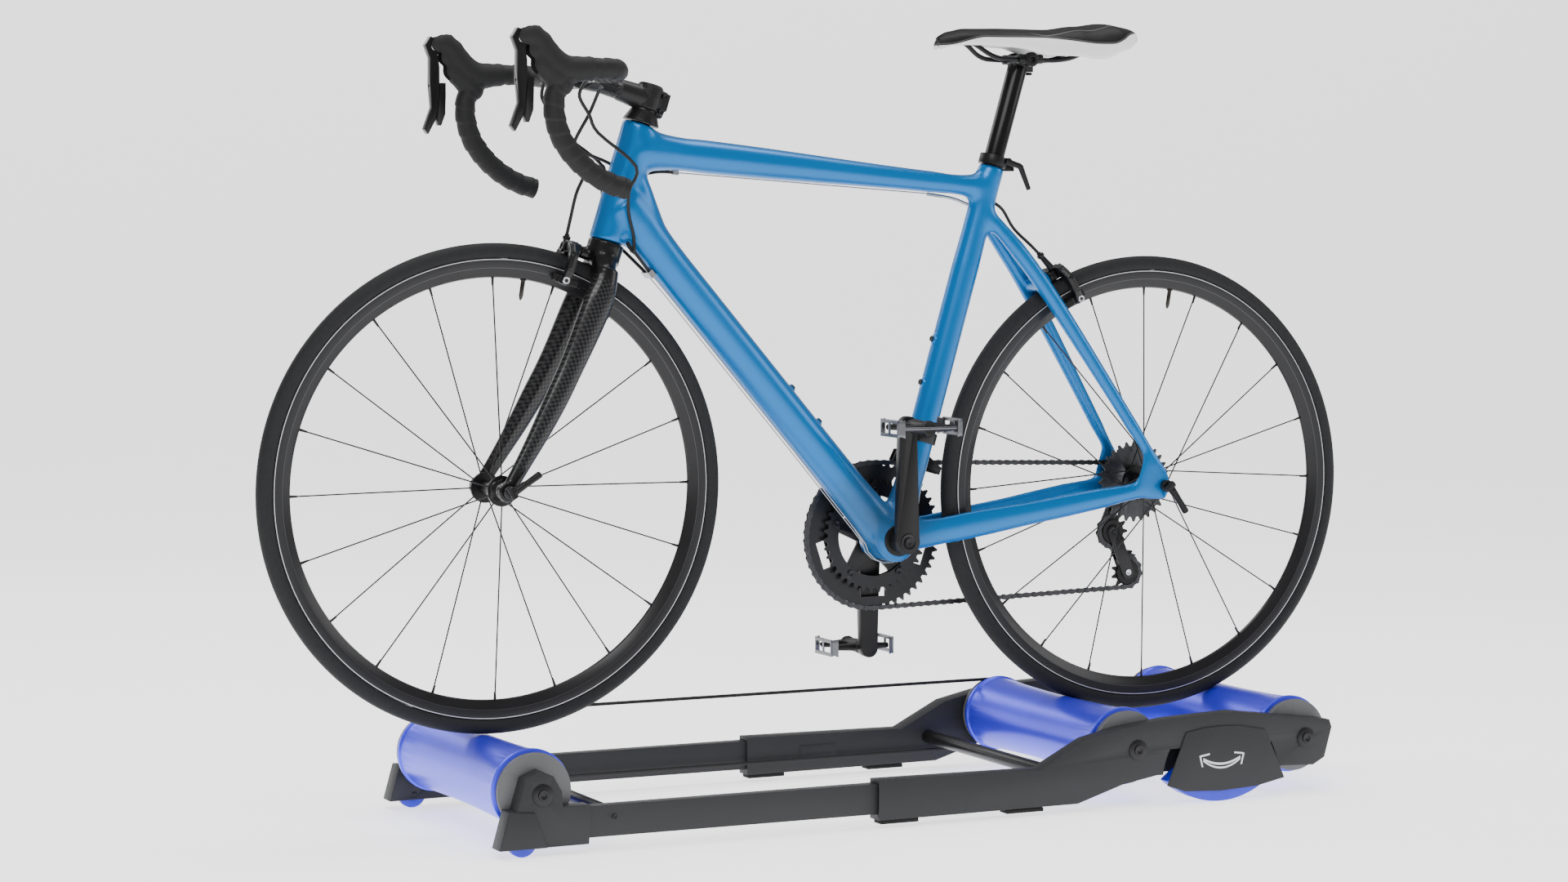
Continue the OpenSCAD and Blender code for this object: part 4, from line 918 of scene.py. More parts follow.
carbon.set("Base Color", carbon.mix(twill * cloth, (0.003, 0.003, 0.0033), (0.026, 0.0265, 0.028)))
carbon.set("Roughness", 0.34 - twill * cloth * 0.12)
carbon.bump(twill * cloth, 0.00006, 0.4)
settle(fork, carbon, "fork")
front_out = tilt.to_3x3() @ Vector((-1, 0, 0))
bolt_parts = [tube(on_steerer(-0.020, 0, -0.0243), on_steerer(-0.059, 0, -0.0243), 0.0040, 0.0040, 24),
              disc(on_steerer(-0.0578, 0, -0.0243), front_out, 0.0080, 0.0040,
                   ((0.7, 0.0), (0.7, -0.0015)), 6, 0.0005)]
settle(joined(bolt_parts, "front brake bolt"), black_steel, "fork", False)

# ---------------------------------------------------------------- headset, stem
# Turned black bearing cover; forged stem with a two-bolt steerer clamp, four-bolt face plate
# and a domed top cap.

from_cad("headset", satin_black, 0.0008)
stem_black = dull("satin forged black", (0.0108, 0.0108, 0.0114), 0.40, metallic=0.3, coat_weight=0.1,
                  coat_roughness=0.3)
stem_black.worn(0.05, 40.0)
STEM_RISE = HEAD_TUBE + 0.034
STEM_LONG = 0.110
stem_parts = [
    merged_copy("stem", "stem"),
    tube(on_steerer(-0.006, 0, STEM_RISE), on_steerer(-0.045, 0, STEM_RISE), 0.0178, 0.0150, 40),
    tube(on_steerer(-0.078, 0, STEM_RISE), on_steerer(-0.100, 0, STEM_RISE), 0.0146, 0.0175, 40),
]
stem_parts += [tube(on_steerer(0.010, 0, z), on_steerer(0.026, 0, z), 0.0095, 0.0080, 30)
               for z in (STEM_RISE - 0.012, STEM_RISE + 0.010)]
stem = melted(stem_parts, "stem", 0.0014, 6)
settle(stem, stem_black, "stem")
stem_bits = [disc(on_steerer(0, 0, HEAD_TUBE + 0.052), steer_up, 0.0175, 0.0022,
                  ((0.92, 0.0), (0.92, 0.001), (0.5, 0.0), (0.5, -0.0015)), 40, 0.0008),
             screw(on_steerer(0, 0, HEAD_TUBE + 0.0535), steer_up, 0.0045, 0.003)]
for side in (-1, 1):
    for lift in (-0.012, 0.010):
        at = on_steerer(0.0195, side * 0.0105, STEM_RISE + lift)
        stem_bits.append(screw(at, (0, side, 0), 0.0040, 0.004))
    for lift in (-0.0145, 0.0145):
        at = on_steerer(-STEM_LONG - 0.0125, side * 0.0155, STEM_RISE + lift)
        stem_bits.append(screw(at, front_out, 0.0036, 0.006))
settle(joined(stem_bits, "stem bolts"), black_steel, "stem", False)

bar_black = Finish("black bar", (0.0096, 0.0096, 0.0102), 0.33, metallic=0.5)
bar_black.worn(0.05, 60.0)
from_cad("handlebar", bar_black, 0)

# ---------------------------------------------------------------- handlebar tape
# Padded tape wound from each bar end up to the clamp, each turn lapping the last by a third,
# with a plug in each end.

bar_at = on_steerer(-STEM_LONG, 0, STEM_RISE)
BAR_HALF = 0.167
# the bar's line in millimetres: how far back, the share of its half width, and how high
drop_line = [(0, 0.5), (0, 0.78), (-2, 0.90), (-9, 0.97), (-19, 1), (-44, 1), (-69, 1), (-86, 1), (-97, 1),
             (-99, 1), (-91, 1), (-76, 1), (-58, 1), (-38, 1), (-17, 1), (4, 1)]
drop_rise = (0, 0, 1, 2, 3, 3, -1, -12, -29, -54, -84, -107, -125, -139, -149, -155)
TAPE_R = 0.0149
TURN = 0.0190
LAP = 0.0017


def tape_skin(distance, angle):
    """A lapped turn: the skin rises to its edge, then steps down onto the next turn."""
    place = (distance / TURN + angle / (2 * math.pi)) % 1.0
    edge = min(1.0, place / 0.07)
    return TAPE_R - LAP + LAP * (0.15 + 0.85 * (1 - place)) * edge


tape_leather = dull("bar tape", (0.0084, 0.0084, 0.0087), 0.62)
tape_grain = tape_leather.noise(1300.0, 4.0, 0.65)
tape_leather.worn(0.07, 55.0)
tape_leather.bump(tape_grain * 0.5 + tape_leather.noise(260.0, 3.0) * 0.5, 0.00022, 0.7)
tapes = []
plugs = []
for side in (-1, 1):
    line = [bar_at + Vector((x / 1000, side * BAR_HALF * share, z / 1000))
            for (x, share), z in zip(drop_line, drop_rise)]
    way = curve_through(line[::-1], 0.0015)
    tapes.append(swept(way, tape_skin, 40, "tape"))
    end = line[-1]
    out = (line[-1] - line[-2]).normalized()
    plugs.append(disc(end - out * 0.0030, out, 0.0118, 0.0036,
                      ((0.9, 0.0), (0.9, 0.0006), (0.4, 0.0), (0.4, -0.0008)), 32, 0.0006))
tape = joined(tapes, "bar tape")
bpy.ops.object.shade_smooth_by_angle(angle=math.radians(50))
settle(tape, tape_leather, "bar_tape")
settle(joined(plugs, "bar end plugs"), smooth_plastic, "bar_tape", False)

# ---------------------------------------------------------------- brake hoods
# Soft rubber hoods stretched over the lever bodies: a tall rounded horn in front, a waist for
# the hand, fine ribs on the outside and a slot at the front where the lever comes out.

hood_rubber = dull("hood rubber", (0.0096, 0.0096, 0.0099), 0.68)
hood_rubber.worn(0.06, 50.0)
rib_z = hood_rubber.axis("Z", bar_at)
rib_x = hood_rubber.axis("X", bar_at)
ribs = hood_rubber.waves(rib_z + rib_x * 0.5, 0.0011)
rib_area = hood_rubber.step(rib_x, -0.112, -0.100) * hood_rubber.step(rib_x, -0.058, -0.066)
hood_rubber.bump(ribs * 300.0 * rib_area + hood_rubber.noise(1500.0, 3.0) * 0.6, 0.00015, 0.5)
# the horn's line and the balls that fill the palm rest: x, z and radius in millimetres
HORN = ((-140, 44, 13.5), (-128, 46, 15.0), (-117, 36, 16.0), (-108, 22, 17.5), (-98, 10, 19.0),
        (-84, 2, 19.0), (-66, 2, 17.5), (-50, 3, 16.4))
PALM = ((-96, -8, 18.0), (-88, -18, 16.0), (-116, 8, 15.5), (-126, 26, 13.5))
hoods = []
for side in (-1, 1):
    def in_hood(x, z):
        return bar_at + Vector((x / 1000, side * BAR_HALF, z / 1000))

    parts = [primitive(bpy.ops.mesh.primitive_uv_sphere_add, segments=28, ring_count=16, radius=r / 1000,
                       location=in_hood(x, z), scale=(1, 0.94, 1)) for x, z, r in HORN + PALM]
    for (ax, az, ar), (bx, bz, br) in zip(HORN, HORN[1:]):
        parts.append(tube(in_hood(ax, az), in_hood(bx, bz), ar / 1000 * 0.96, br / 1000 * 0.96, 28))
    parts.append(tube(in_hood(-116, 8), in_hood(-92, -12), 0.0150, 0.0165, 28))
    hood = melted(parts, "hood", 0.0013, 34)
    # the slot: the front of the horn is cut square between two cheeks
    cutter = primitive(bpy.ops.mesh.primitive_cube_add, size=1, location=in_hood(-148, 22),
                       scale=(0.056, 0.0148, 0.078))
    modified(hood, "BOOLEAN", object=cutter, operation="DIFFERENCE", solver="EXACT")
    bpy.data.objects.remove(cutter)
    hoods.append(hood)
hoods = joined(hoods, "brake hoods")
bpy.ops.object.shade_smooth_by_angle(angle=math.radians(40))
settle(hoods, hood_rubber, "brake_hoods")

# ---------------------------------------------------------------- brake levers and shift paddles
# Forged levers with a satin face, each with a small shift paddle pinned behind it.

lever_black = dull("lever black", (0.0078, 0.0078, 0.0084), 0.28, metallic=0.45, coat_weight=0.15,
                   coat_roughness=0.2)
lever_black.worn(0.06, 70.0)
for side in ("left", "right"):
    from_cad("brake_lever_" + side, lever_black, 0.0020)
    from_cad("shift_paddle_" + side, lever_black, 0.0016)
    turn = Vector(joint[f"brake_lever_{side}_pull"]["pos_m"])
    caps = [disc(turn + Vector((0, s * 0.0060, 0)), (0, s, 0), 0.0055, 0.0012,
                 ((0.6, 0.0), (0.6, 0.0006)), 24, 0.0004) for s in (-1, 1)]
    settle(joined(caps, f"lever_pivot_caps_{side}"), zinc, "brake_lever_" + side, False)

# ---------------------------------------------------------------- cables
# Black lined housings carry the inner cables from the levers to stops on the frame; bare
# stainless cable runs between the stops.

housing_black = dull("cable housing", (0.0078, 0.0078, 0.0081), 0.42)
housing_black.worn(0.06, 120.0)
bare_cable = Finish("stranded cable", (0.30, 0.31, 0.33), 0.33, metallic=1.0)
bare_cable.worn(0.08, 400.0)
from_cad("front_brake_cable", housing_black, 0)
from_cad("steering_housings", housing_black, 0)

# The stops, housings and bare cables on the frame are told apart by their thickness.
merged_copy("frame_cables", "frame_cables_finished")
bpy.ops.object.mode_set(mode="EDIT")
bpy.ops.mesh.separate(type="LOOSE")
bpy.ops.object.mode_set(mode="OBJECT")
strands = list(bpy.context.selected_objects)
for strand in strands:
    faces = strand.data.polygons
    skin = sum(face.area for face in faces)
    volume = sum(face.center.dot(face.normal) * face.area for face in faces) / 3
    thickness = abs(volume) / skin
    finish = bare_cable if thickness < 0.0007 else housing_black if thickness < 0.0014 else azure
    strand.data.materials.clear()
    strand.data.materials.append(finish.material)
    eased(strand, 0)
settle(joined(strands, "frame_cables_finished"), None, "frame_cables")

# ---------------------------------------------------------------- tyres
# Black rubber clinchers: smooth sides, a file-cut band on each shoulder, a plain centre.

TYRE_R = 0.3215
TYRE_SECTION = 0.0125
BEAD_R = 0.3135
BEAD_TOP = 0.3145
RIB_R = 0.3172


def tyre_rubber(name, axle):
    rubber = Finish(name, (0.008, 0.0082, 0.0088), 0.66, specular_ior_level=0.15)
    away = rubber.radius(axle)
    y = rubber.axis("Y", axle)
    side_of = (y * y) ** 0.5
    x = rubber.axis("X", axle)
    z = rubber.axis("Z", axle)
    round_way = rubber.node("ShaderNodeMath", {"operation": "ARCTAN2"}, {0: z, 1: x})
    cut = rubber.waves(round_way * 0.334 + side_of * 0.8, 0.0016)
    shoulder = rubber.step(side_of, 0.0028, 0.0040) * rubber.step(side_of, 0.0100, 0.0090)
    shoulder = shoulder * rubber.step(away, 0.322, 0.325)
    mottle = rubber.noise(140.0, 5.0, 0.75)
    dust = rubber.noise(9.0, 3.0)
    tone = rubber.mix(mottle, (0.008, 0.0082, 0.009), (0.024, 0.0245, 0.026))
    rubber.set("Base Color", rubber.mix(dust * 0.35, tone, (0.017, 0.0175, 0.0185)))
    rubber.set("Roughness", 0.55 + mottle * 0.2)
    rubber.bump(cut * 320.0 * shoulder + mottle * 0.7, 0.00035, 0.55)
    return rubber


def tyre(axle, name):
    """A torus pressed flat where the beads hook into the rim, with a moulded rib above each bead."""
    piece = primitive(bpy.ops.mesh.primitive_torus_add, major_segments=180, minor_segments=36,
                      major_radius=TYRE_R, minor_radius=TYRE_SECTION, location=axle,
                      rotation=(math.pi / 2, 0, 0))
    piece.name = name
    for vertex in piece.data.vertices:
        out = Vector((vertex.co.x - axle.x, 0, vertex.co.z - axle.z))
        away = out.length
        if away < BEAD_TOP:
            out = out * ((BEAD_R + (BEAD_TOP - away) * 0.05) / away)
            vertex.co.x = axle.x + out.x
            vertex.co.z = axle.z + out.z
            vertex.co.y *= 0.90
        elif abs(away - RIB_R) < 0.0012:
            vertex.co.y *= 1.012
    alone(piece)
    bpy.ops.object.shade_smooth()
    return piece


for end, axle in (("front", front_axle_at), ("rear", rear_axle_at)):
    settle(tyre(axle, end + " tyre"), tyre_rubber(end + " tyre rubber", axle), end + "_tyre")

# ---------------------------------------------------------------- rims
# Black anodised V-section rims with a turned brake track, a bright wear line at its edge,
# and a dark brass valve with its hexagon nut.

RIM_INNER = 0.287
RIM_OUTER = 0.313


def rim_metal(name, axle):
    metal = dull(name, (0.0084, 0.0084, 0.0087), 0.30, metallic=0.45, coat_weight=0.17, coat_roughness=0.2)
    away = metal.radius(axle)
    track = metal.step(away, 0.3005, 0.3010) * metal.step(away, 0.3122, 0.3118)
    bright = metal.step((away - 0.3119) ** 2.0, 0.00000040, 0.00000018)
    low_line = metal.step((away - 0.3004) ** 2.0, 0.00000016, 0.00000006)
    rings = metal.waves(away, 0.0004)
    tone = metal.mix(metal.noise(30.0, 3.0), (0.011, 0.011, 0.012), (0.018, 0.018, 0.019))
    tone = metal.mix(track, tone, (0.020, 0.020, 0.022))
    tone = metal.mix(low_line * 0.5, tone, (0.10, 0.10, 0.11))
    metal.set("Base Color", metal.mix(bright, tone, (0.55, 0.55, 0.58)))
    metal.set("Roughness", 0.30 + track * 0.12)
    metal.bump(rings * 900.0 * track + metal.noise(900.0) * 0.2, 0.00006, 0.5)
    return metal


def rim(axle, name):
    """The rim's section, spun once round the axle: flat bed, brake track, V sides, rounded spoke edge."""
    section = [(RIM_OUTER, -0.0062), (RIM_OUTER + 0.0004, -0.0088), (RIM_OUTER - 0.0006, -0.0097),
               (0.3010, -0.0097), (0.2998, -0.0092), (0.2915, -0.0052), (0.2882, -0.0032), (RIM_INNER, 0.0)]
    section += [(r, -y) for r, y in section[-2::-1]]
    count = len(section)
    piece = built(name, [(axle.x, axle.y + y, axle.z + r) for r, y in section], [],
                  [(i, (i + 1) % count) for i in range(count)])
    alone(piece)
    bpy.ops.object.mode_set(mode="EDIT")
    bpy.ops.mesh.select_all(action="SELECT")
    bpy.ops.mesh.spin(steps=180, angle=2 * math.pi, center=axle, axis=(0, 1, 0))
    bpy.ops.object.mode_set(mode="OBJECT")
    outward(piece, 0.00002)
    bpy.ops.object.shade_smooth_by_angle(angle=math.radians(28))
    return piece


brass = Finish("valve brass", (0.05, 0.045, 0.04), 0.3, metallic=1.0)
brass.worn(0.06, 300.0)
for end, axle in (("front", front_axle_at), ("rear", rear_axle_at)):
    settle(rim(axle, end + " rim"), rim_metal(end + " rim metal", axle), end + "_rim")
    valve_way = Vector((math.sin(math.radians(9)), 0, math.cos(math.radians(9))))
    stem_top = axle + valve_way * (RIM_INNER + 0.001)
    valve = [disc(stem_top, -valve_way, 0.0030, 0.0240,
                  ((0.8, 0.0), (0.8, 0.003), (0.45, 0.0), (0.45, 0.002)), 16, 0.0003),
             disc(stem_top, -valve_way, 0.0048, 0.0022, ((0.8, 0.0),), 6, 0.0004)]
    settle(joined(valve, end + " valve"), brass, end + "_rim", False)

# ---------------------------------------------------------------- hubs and spokes
# Machined hubs with flanges; twenty bladed black spokes, each with a nipple at the rim.

spoke_black = Finish("black hub and spokes", (0.0084, 0.0084, 0.009), 0.32, metallic=0.5)
spoke_black.worn(0.06, 60.0)
SPOKES = 20
for end, axle in (("front", front_axle_at), ("rear", rear_axle_at)):
    from_cad(end + "_hub", spoke_black, 0)
    nipples = []
    for i in range(SPOKES):
        angle = 2 * math.pi * i / SPOKES
        way = Vector((math.cos(angle), 0, -math.sin(angle)))
        root = axle + way * (RIM_INNER + 0.0004) + Vector((0, 0.0015 if i % 2 == 0 else -0.0015, 0))
        nipples.append(tube(root, root - way * 0.0110, 0.0020, 0.0014, 10))
    nipples = joined(nipples, end + " nipples")
    bpy.ops.object.shade_smooth_by_angle(angle=math.radians(40))
    settle(nipples, spoke_black, end + "_hub", False)
    # a collar at each end, but none where the sprockets are
    collars = [disc(axle + Vector((0, y, 0)), (0, y, 0), 0.0128, 0.0040,
                    ((0.86, 0.0), (0.86, 0.001), (0.62, 0.0)), 40, 0.0005)
               for y in ((-0.0422, 0.0422) if end == "front" else (-0.0462,))]
    settle(joined(collars, end + " hub collars"), zinc, end + "_hub", False)

# ---------------------------------------------------------------- axles and quick-release levers
# Steel skewers with knurled nuts, and black cast cam levers that lie back along the fork and stay.

from_cad("front_axle", black_steel, 0.0008)
from_cad("rear_axle", black_steel, 0.0008)
for end in ("front", "rear"):
    lever = merged_copy(end + "_qr_lever", end + " lever core")
    turn = joint[end + "_qr_open"]
    pivot = Vector(turn["pos_m"])
    hinge_way = Vector(turn["axis"]).normalized()
    arm = Vector((-hinge_way.z, 0, hinge_way.x))
    arm = arm if arm.x > 0 else -arm
    waist = pivot + arm * 0.022 + Vector((0, -0.002, 0))
    parts = [lever, tube(pivot + arm * 0.006, waist, 0.0058, 0.0046, 24),
             tube(waist, pivot + arm * 0.046 + Vector((0, -0.001, 0)), 0.0046, 0.0050, 24)]
    piece = melted(parts, end + " quick release", 0.0009, 7)
    settle(piece, satin_black, end + "_qr_lever")

# ---------------------------------------------------------------- cassette
# Stamped steel sprockets on a splined body, darkened with chain oil.

oiled_steel = Finish("oiled steel", (0.03, 0.0306, 0.033), 0.34, metallic=0.9)
oil = oiled_steel.noise(70.0, 4.0)
oiled_steel.set("Base Color", oiled_steel.mix(oil, (0.026, 0.026, 0.028), (0.085, 0.086, 0.092)))
oiled_steel.set("Roughness", 0.28 + oil * 0.25)
from_cad("cassette", oiled_steel, 0)
lock_ring = disc(rear_axle_at + Vector((0, 0.0565, 0)), (0, 1, 0), 0.0150, 0.0014,
                 ((0.8, 0.0), (0.8, -0.0008)), 24, 0.0003)
lock_ring.name = "lock ring"
settle(lock_ring, zinc, "cassette", False)

# ---------------------------------------------------------------- cranks and chainrings
# Forged black cranks with a self-extracting bolt; black rings with milled windows, cut teeth
# and five blackened chainring bolts.

crank_black = dull("forged crank black", (0.009, 0.009, 0.0096), 0.38, metallic=0.35, coat_weight=0.07,
                   coat_roughness=0.3)
crank_black.worn(0.06, 35.0)
crank_black.bump(crank_black.noise(1800.0, 2.0), 0.00003, 0.3)
from_cad("crank_left", crank_black, 0.0030)
from_cad("crank_right", crank_black, 0.0022)
CRANK_FACE = 0.068
RECESS = ((0.82, 0.0), (0.82, -0.0012))
for side, s, steps in (("left", -1, RECESS + ((0.5, 0.0), (0.5, -0.0006))), ("right", 1, RECESS)):
    seat_at = crank_at + Vector((0, s * (CRANK_FACE - 0.0002), 0))
    bolt_at = crank_at + Vector((0, s * (CRANK_FACE + 0.0008), 0))
    caps = [disc(seat_at, (0, s, 0), 0.0125, 0.0016, steps, 40, 0.0004),
            screw(bolt_at, (0, s, 0), 0.0062, 0.0016)]
    settle(joined(caps, "crank bolt " + side), black_steel, "crank_" + side, False)
ring_black = Finish("ring anodising", (0.0108, 0.0108, 0.012), 0.34, metallic=0.6)
ring_away = ring_black.radius(crank_at)
turned_lines = ring_black.waves(ring_away, 0.0003)
teeth_wear = ring_black.step(ring_away, 0.1035, 0.1050)
ring_black.set("Base Color", ring_black.mix(teeth_wear * 0.5, (0.018, 0.018, 0.020), (0.11, 0.11, 0.12)))
ring_black.set("Roughness", 0.32 + ring_black.noise(50.0, 3.0) * 0.12)
ring_black.bump(turned_lines * 1200.0, 0.00004, 0.3)
from_cad("chainrings", ring_black, 0)
ring_bolts = []
for i in range(5):
    angle = math.radians(90 + 72 * i)
    spot = crank_at + Vector((0.065 * math.cos(angle), 0, 0.065 * math.sin(angle)))
    ring_bolts.append(screw(spot + Vector((0, 0.0499, 0)), (0, 1, 0), 0.0052, 0.0016))
    ring_bolts.append(screw(spot + Vector((0, 0.0382, 0)), (0, -1, 0), 0.0052, 0.0014))
settle(joined(ring_bolts, "chainring bolts"), black_steel, "chainrings", False)

# ---------------------------------------------------------------- chain
# Half-inch pitch bushed chain: outer and inner plate pairs by turns, joined by riveted pins.

PITCH = 0.0127


def pitch_radius(teeth):
    return PITCH / 2 / math.sin(math.pi / teeth)


# centre and radius of what the chain runs round; a minus sign where it runs on the other side
RINGS = [(crank_at, -pitch_radius(52)), (rear_axle_at, -pitch_radius(13)),
         (Vector(joint["guide_pulley_spin"]["pos_m"]), pitch_radius(11)),
         (Vector(joint["tension_pulley_spin"]["pos_m"]), -pitch_radius(11))]
CHAIN_Y = joint["guide_pulley_spin"]["pos_m"][1]


def leaving(i, j):
    """The direction in which the chain runs from ring i to ring j."""
    (a, ra), (b, rb) = RINGS[i], RINGS[j]
    d = b - a
    return math.atan2(d.z, d.x) - math.asin((rb - ra) / Vector((d.x, 0, d.z)).length)


chain_way = []
for i, (centre, r) in enumerate(RINGS):
    start = leaving(i - 1, i) if i else leaving(3, 0)
    stop = leaving(i, (i + 1) % 4)
    full = 2 * math.pi
    turn = (stop - start) % full if r > 0 else -((start - stop) % full)
    for k in range(61):
        a = start + turn * k / 60
        chain_way.append(Vector((centre.x + r * math.sin(a), CHAIN_Y, centre.z - r * math.cos(a))))
lengths = [(b - a).length for a, b in zip(chain_way, chain_way[1:] + chain_way[:1])]
LINKS = 2 * round(sum(lengths) / PITCH / 2)
pin_spots = []
want = 0.0
run = 0.0
for a, b, long in zip(chain_way, chain_way[1:] + chain_way[:1], lengths):
    while want <= run + long and len(pin_spots) < LINKS:
        pin_spots.append(a + (b - a) * ((want - run) / long))
        want += sum(lengths) / LINKS
    run += long


def link_plate(a, b, y, thick, half, waist):
    """One figure-of-eight side plate between two pins."""
    along = (b - a).normalized()
    over = Vector((-along.z, 0, along.x))
    outline = []
    for centre, way in ((b, 1), (a, -1)):
        for k in range(5):
            turn = math.radians(-68 + 34 * k)
            outline.append(centre + (along * math.cos(turn) + over * math.sin(turn)) * (half * way))
        outline.append((a + b) / 2 + over * (waist * way))
    ring = [(p.x, y, p.z) for p in outline] + [(p.x, y + thick, p.z) for p in outline]
    n = len(outline)
    sides = [(k, (k + 1) % n, n + (k + 1) % n, n + k) for k in range(n)]
    return ring, [tuple(range(n))[::-1], tuple(range(n, 2 * n))] + sides


vertices = []
faces = []
for k in range(LINKS):
    a, b = pin_spots[k], pin_spots[(k + 1) % LINKS]
    outer = k % 2 == 0
    for side in (-1, 1):
        y = CHAIN_Y + side * (0.0027 if outer else 0.0019) - 0.0004
        ring, sides = link_plate(a, b, y, 0.0008, 0.0042, 0.0026)
        faces += [tuple(len(vertices) + v for v in f) for f in sides]
        vertices += ring
    pin = [(a.x + r * math.cos(t), CHAIN_Y + y, a.z + r * math.sin(t))
           for y, r in ((-0.0034, 0.0017), (0.0034, 0.0017)) for t in (math.pi / 4 * q for q in range(8))]
    sides = [(q, (q + 1) % 8, 8 + (q + 1) % 8, 8 + q) for q in range(8)]
    sides += [tuple(range(8))[::-1], tuple(range(8, 16))]
    faces += [tuple(len(vertices) + v for v in f) for f in sides]
    vertices += pin
chain = outward(built("chain links", vertices, faces))
bpy.ops.object.shade_smooth_by_angle(angle=math.radians(35))
settle(chain, oiled_steel, "chain")

# ---------------------------------------------------------------- pedals
# Steel quill pedals: a black body on sealed bearings, with a toothed cage front and back.

cage_steel = Finish("pedal cage steel", (0.15, 0.155, 0.165), 0.32, metallic=1.0)
cage_steel.worn(0.08, 90.0)
pedal_black = dull("pedal body black", (0.0096, 0.0096, 0.0102), 0.42, metallic=0.2)
pedal_black.worn(0.06, 60.0)
for side, s in (("left", -1), ("right", 1)):
    at = Vector(joint[f"pedal_{side}_spin"]["pos_m"])
    mid_y = s * (0.0745 + 0.1360) / 2

    def at_pedal(x, y, z):
        return Vector((at.x + x, y, at.z + z))

    body_parts = [tube(at_pedal(0, s * 0.0700, 0), at_pedal(0, s * 0.0860, 0), 0.0085, 0.0110, 32),
                  tube(at_pedal(0, s * 0.0860, 0), at_pedal(0, s * 0.1250, 0), 0.0105, 0.0088, 32),
                  tube(at_pedal(0, s * 0.1250, 0), at_pedal(0, s * 0.1330, 0), 0.0110, 0.0100, 32)]
    for x in (-1, 1):
        for y in (s * 0.0830, s * 0.1270):
            body_parts.append(tube(at_pedal(0, y, 0), at_pedal(x * 0.0430, y, 0), 0.0068, 0.0040, 20))
    bore = tube(at_pedal(0, s * 0.0690, 0), at_pedal(0, s * 0.1260, 0), 0.00706, 0.00706, 40)
    body = melted(body_parts, f"pedal body {side}", 0.0012, 5)
    modified(body, "BOOLEAN", object=bore, solver="EXACT")
    bpy.data.objects.remove(bore)
    settle(body, pedal_black, "pedal_" + side)
    plates = []
    for x in (-1, 1):
        # a cage plate: a strip with cut-out windows, a row of teeth along each edge and its ends bent in
        plate = primitive(bpy.ops.mesh.primitive_grid_add, x_subdivisions=24, y_subdivisions=6, size=1,
                          location=(0, 0, 0))
        for vertex in plate.data.vertices:
            u, v = vertex.co.x * 2, vertex.co.y * 2
            column = round((u + 1) * 12)
            tooth = 0.0022 if abs(v) > 0.99 and column % 2 == 0 else 0.0
            inward = max(0.0, abs(u) - 0.84) / 0.16
            vertex.co = at_pedal(x * (0.0500 - 0.0090 * inward ** 1.5), mid_y + u * 0.0318,
                                 v * 0.0105 + math.copysign(tooth, v))
        alone(plate)
        bpy.ops.object.mode_set(mode="EDIT")
        pick(lambda c, n: abs(c.z - at.z) < 0.0075 and 0.0035 < abs(c.y - mid_y) < 0.0235)
        bpy.ops.mesh.delete(type="FACE")
        bpy.ops.object.mode_set(mode="OBJECT")
        modified(plate, "SOLIDIFY", thickness=0.0016, offset=0)
        plates.append(eased(plate, 0.0003, 40))
    wire = [at_pedal(x, s * y, 0.0) for x, y in ((-0.0410, 0.1335), (-0.0200, 0.1347), (0.0, 0.1351),
                                                (0.0200, 0.1347), (0.0410, 0.1335))]
    plates.append(bent_rod(wire, 0.0022, "cage end"))
    cage = joined(plates, f"pedal cage {side}")
    settle(cage, cage_steel, "pedal_" + side, False)

# ---------------------------------------------------------------- brakes
# Side-pull calipers: two forged black arms on one bolt, each with a rubber pad in a holder
# beside the rim. The upper arm carries the cable anchor and adjuster.

caliper_black = dull("caliper enamel", (0.0096, 0.0096, 0.0102), 0.34, metallic=0.3, coat_weight=0.17,
                     coat_roughness=0.2)
caliper_black.worn(0.06, 60.0)
pad_black = dull("brake pad", (0.0084, 0.0084, 0.0084), 0.75)
pad_black.worn(0.05, 200.0)
for end, wheel_at in (("front", front_axle_at), ("rear", rear_axle_at)):
    for side in ("left", "right"):
        node = f"{end}_brake_arm_{side}"
        swing = joint[f"{end}_brake_{side}_close"]
        bolt = Vector(swing["pos_m"])
        out = Vector(swing["axis"]).normalized()
        low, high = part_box(node)
        s = -1 if side == "left" else 1
        arm = merged_copy(node, node + " core")
        up = (bolt - wheel_at)
        up = (up - out * up.dot(out))
        up.y = 0
        up.normalize()
        centre = Vector(((low.x + high.x) / 2, 0, (low.z + high.z) / 2))
        face_mid = bolt + out * (centre - bolt).dot(out)

        def on_arm(y, rise, ahead=0.0):
            return face_mid + Vector((0, s * y, 0)) + up * rise + out * ahead

        parts = [arm,
                 tube(on_arm(0.000, 0.000), on_arm(0.020, 0.002), 0.0058, 0.0060, 20),
                 tube(on_arm(0.020, 0.002), on_arm(0.031, -0.010), 0.0060, 0.0056, 20),
                 tube(on_arm(0.031, -0.010), on_arm(0.031, -0.030), 0.0056, 0.0052, 20),
                 tube(on_arm(0.031, -0.030), on_arm(0.024, -0.046), 0.0054, 0.0052, 20)]
        piece = melted(parts, node.replace("_", " "), 0.0011, 5)
        settle(piece, caliper_black, node)
        bits = [screw(on_arm(0.0265, -0.046), (0, s, 0), 0.0050, 0.0050)]
        settle(joined(bits, node + " screw"), zinc, node, False)

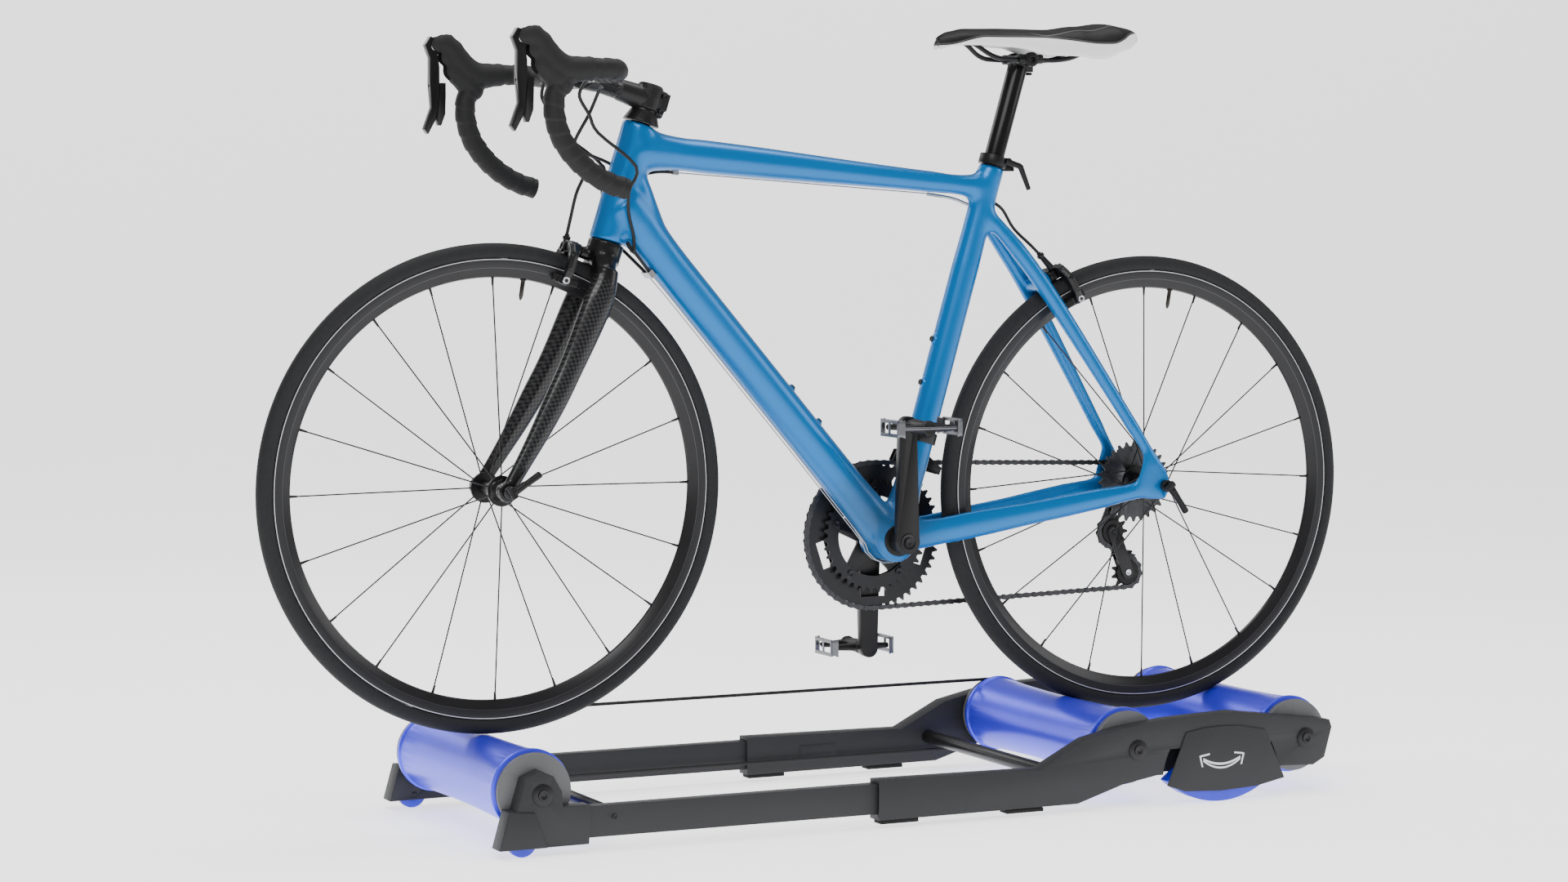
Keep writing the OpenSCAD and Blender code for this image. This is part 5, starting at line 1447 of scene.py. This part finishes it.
# A barrel adjuster on each caliper takes the end of its cable housing.
adjusters = [
    ("front_brake_arm_right", on_steerer(-0.0535, 0.0120, -0.0075), on_steerer(-0.0500, 0.0140, -0.0330)),
    ("rear_brake_arm_left", Vector((0.3325, -0.0040, 0.7770)), Vector((0.3500, -0.0080, 0.7570))),
]
for node, cable_end, foot in adjusters:
    way = (foot - cable_end).normalized()
    barrel = [tube(cable_end - way * 0.002, foot, 0.0034, 0.0052, 24),
              disc(cable_end + way * 0.001, way, 0.0056, 0.0045, ((0.8, 0.0), (0.8, 0.0006)), 18, 0.0005)]
    settle(joined(barrel, node + " adjuster"), caliper_black, node, False)

# ---------------------------------------------------------------- gear changers
# Cast and stamped parts in dark enamel: a clamp and cage at the front, a hanging cage with
# two nylon pulleys at the back.

mech_black = dull("gear enamel", (0.012, 0.012, 0.0132), 0.32, metallic=0.45, coat_weight=0.15,
                  coat_roughness=0.2)
mech_black.worn(0.07, 60.0)
nylon = dull("pulley nylon", (0.0072, 0.0072, 0.0075), 0.45)
nylon.worn(0.06, 200.0)
from_cad("front_derailleur", mech_black, 0.0009)
from_cad("front_derailleur_cage", mech_black, 0.0007)
rear_parts = [merged_copy("rear_derailleur", "rear changer")]
hang_at = Vector(joint["rear_derailleur_swing"]["pos_m"])
guide_at = Vector(joint["derailleur_cage_swing"]["pos_m"])
tension_at = Vector(joint["tension_pulley_spin"]["pos_m"])
for k in range(2):
    shift = Vector((0.005 - 0.010 * k, 0, 0.002))
    start = Vector((hang_at.x, 0.0755, hang_at.z)) + shift
    rear_parts.append(tube(start, Vector((guide_at.x, 0.0685, guide_at.z)) + shift, 0.0058, 0.0066, 20))
changer = melted(rear_parts, "rear changer", 0.0010, 5)
settle(changer, mech_black, "rear_derailleur")
bits = [screw((hang_at.x, 0.0738, hang_at.z), (0, 1, 0), 0.0062, 0.0022),
        disc((guide_at.x, 0.0698, guide_at.z), (0, 1, 0), 0.0100, 0.0014,
             ((0.8, 0.0), (0.8, 0.0007)), 32, 0.0004)]
settle(joined(bits, "rear changer bolts"), black_steel, "rear_derailleur", False)
from_cad("derailleur_cage", mech_black, 0.0004)
cage_bits = [screw((tension_at.x, 0.0540, tension_at.z), (0, 1, 0), 0.0046, 0.0012),
             screw((tension_at.x, 0.0420, tension_at.z), (0, -1, 0), 0.0046, 0.0012)]
settle(joined(cage_bits, "pulley bolts"), zinc, "derailleur_cage", False)
from_cad("guide_pulley", nylon, 0)
from_cad("tension_pulley", nylon, 0)
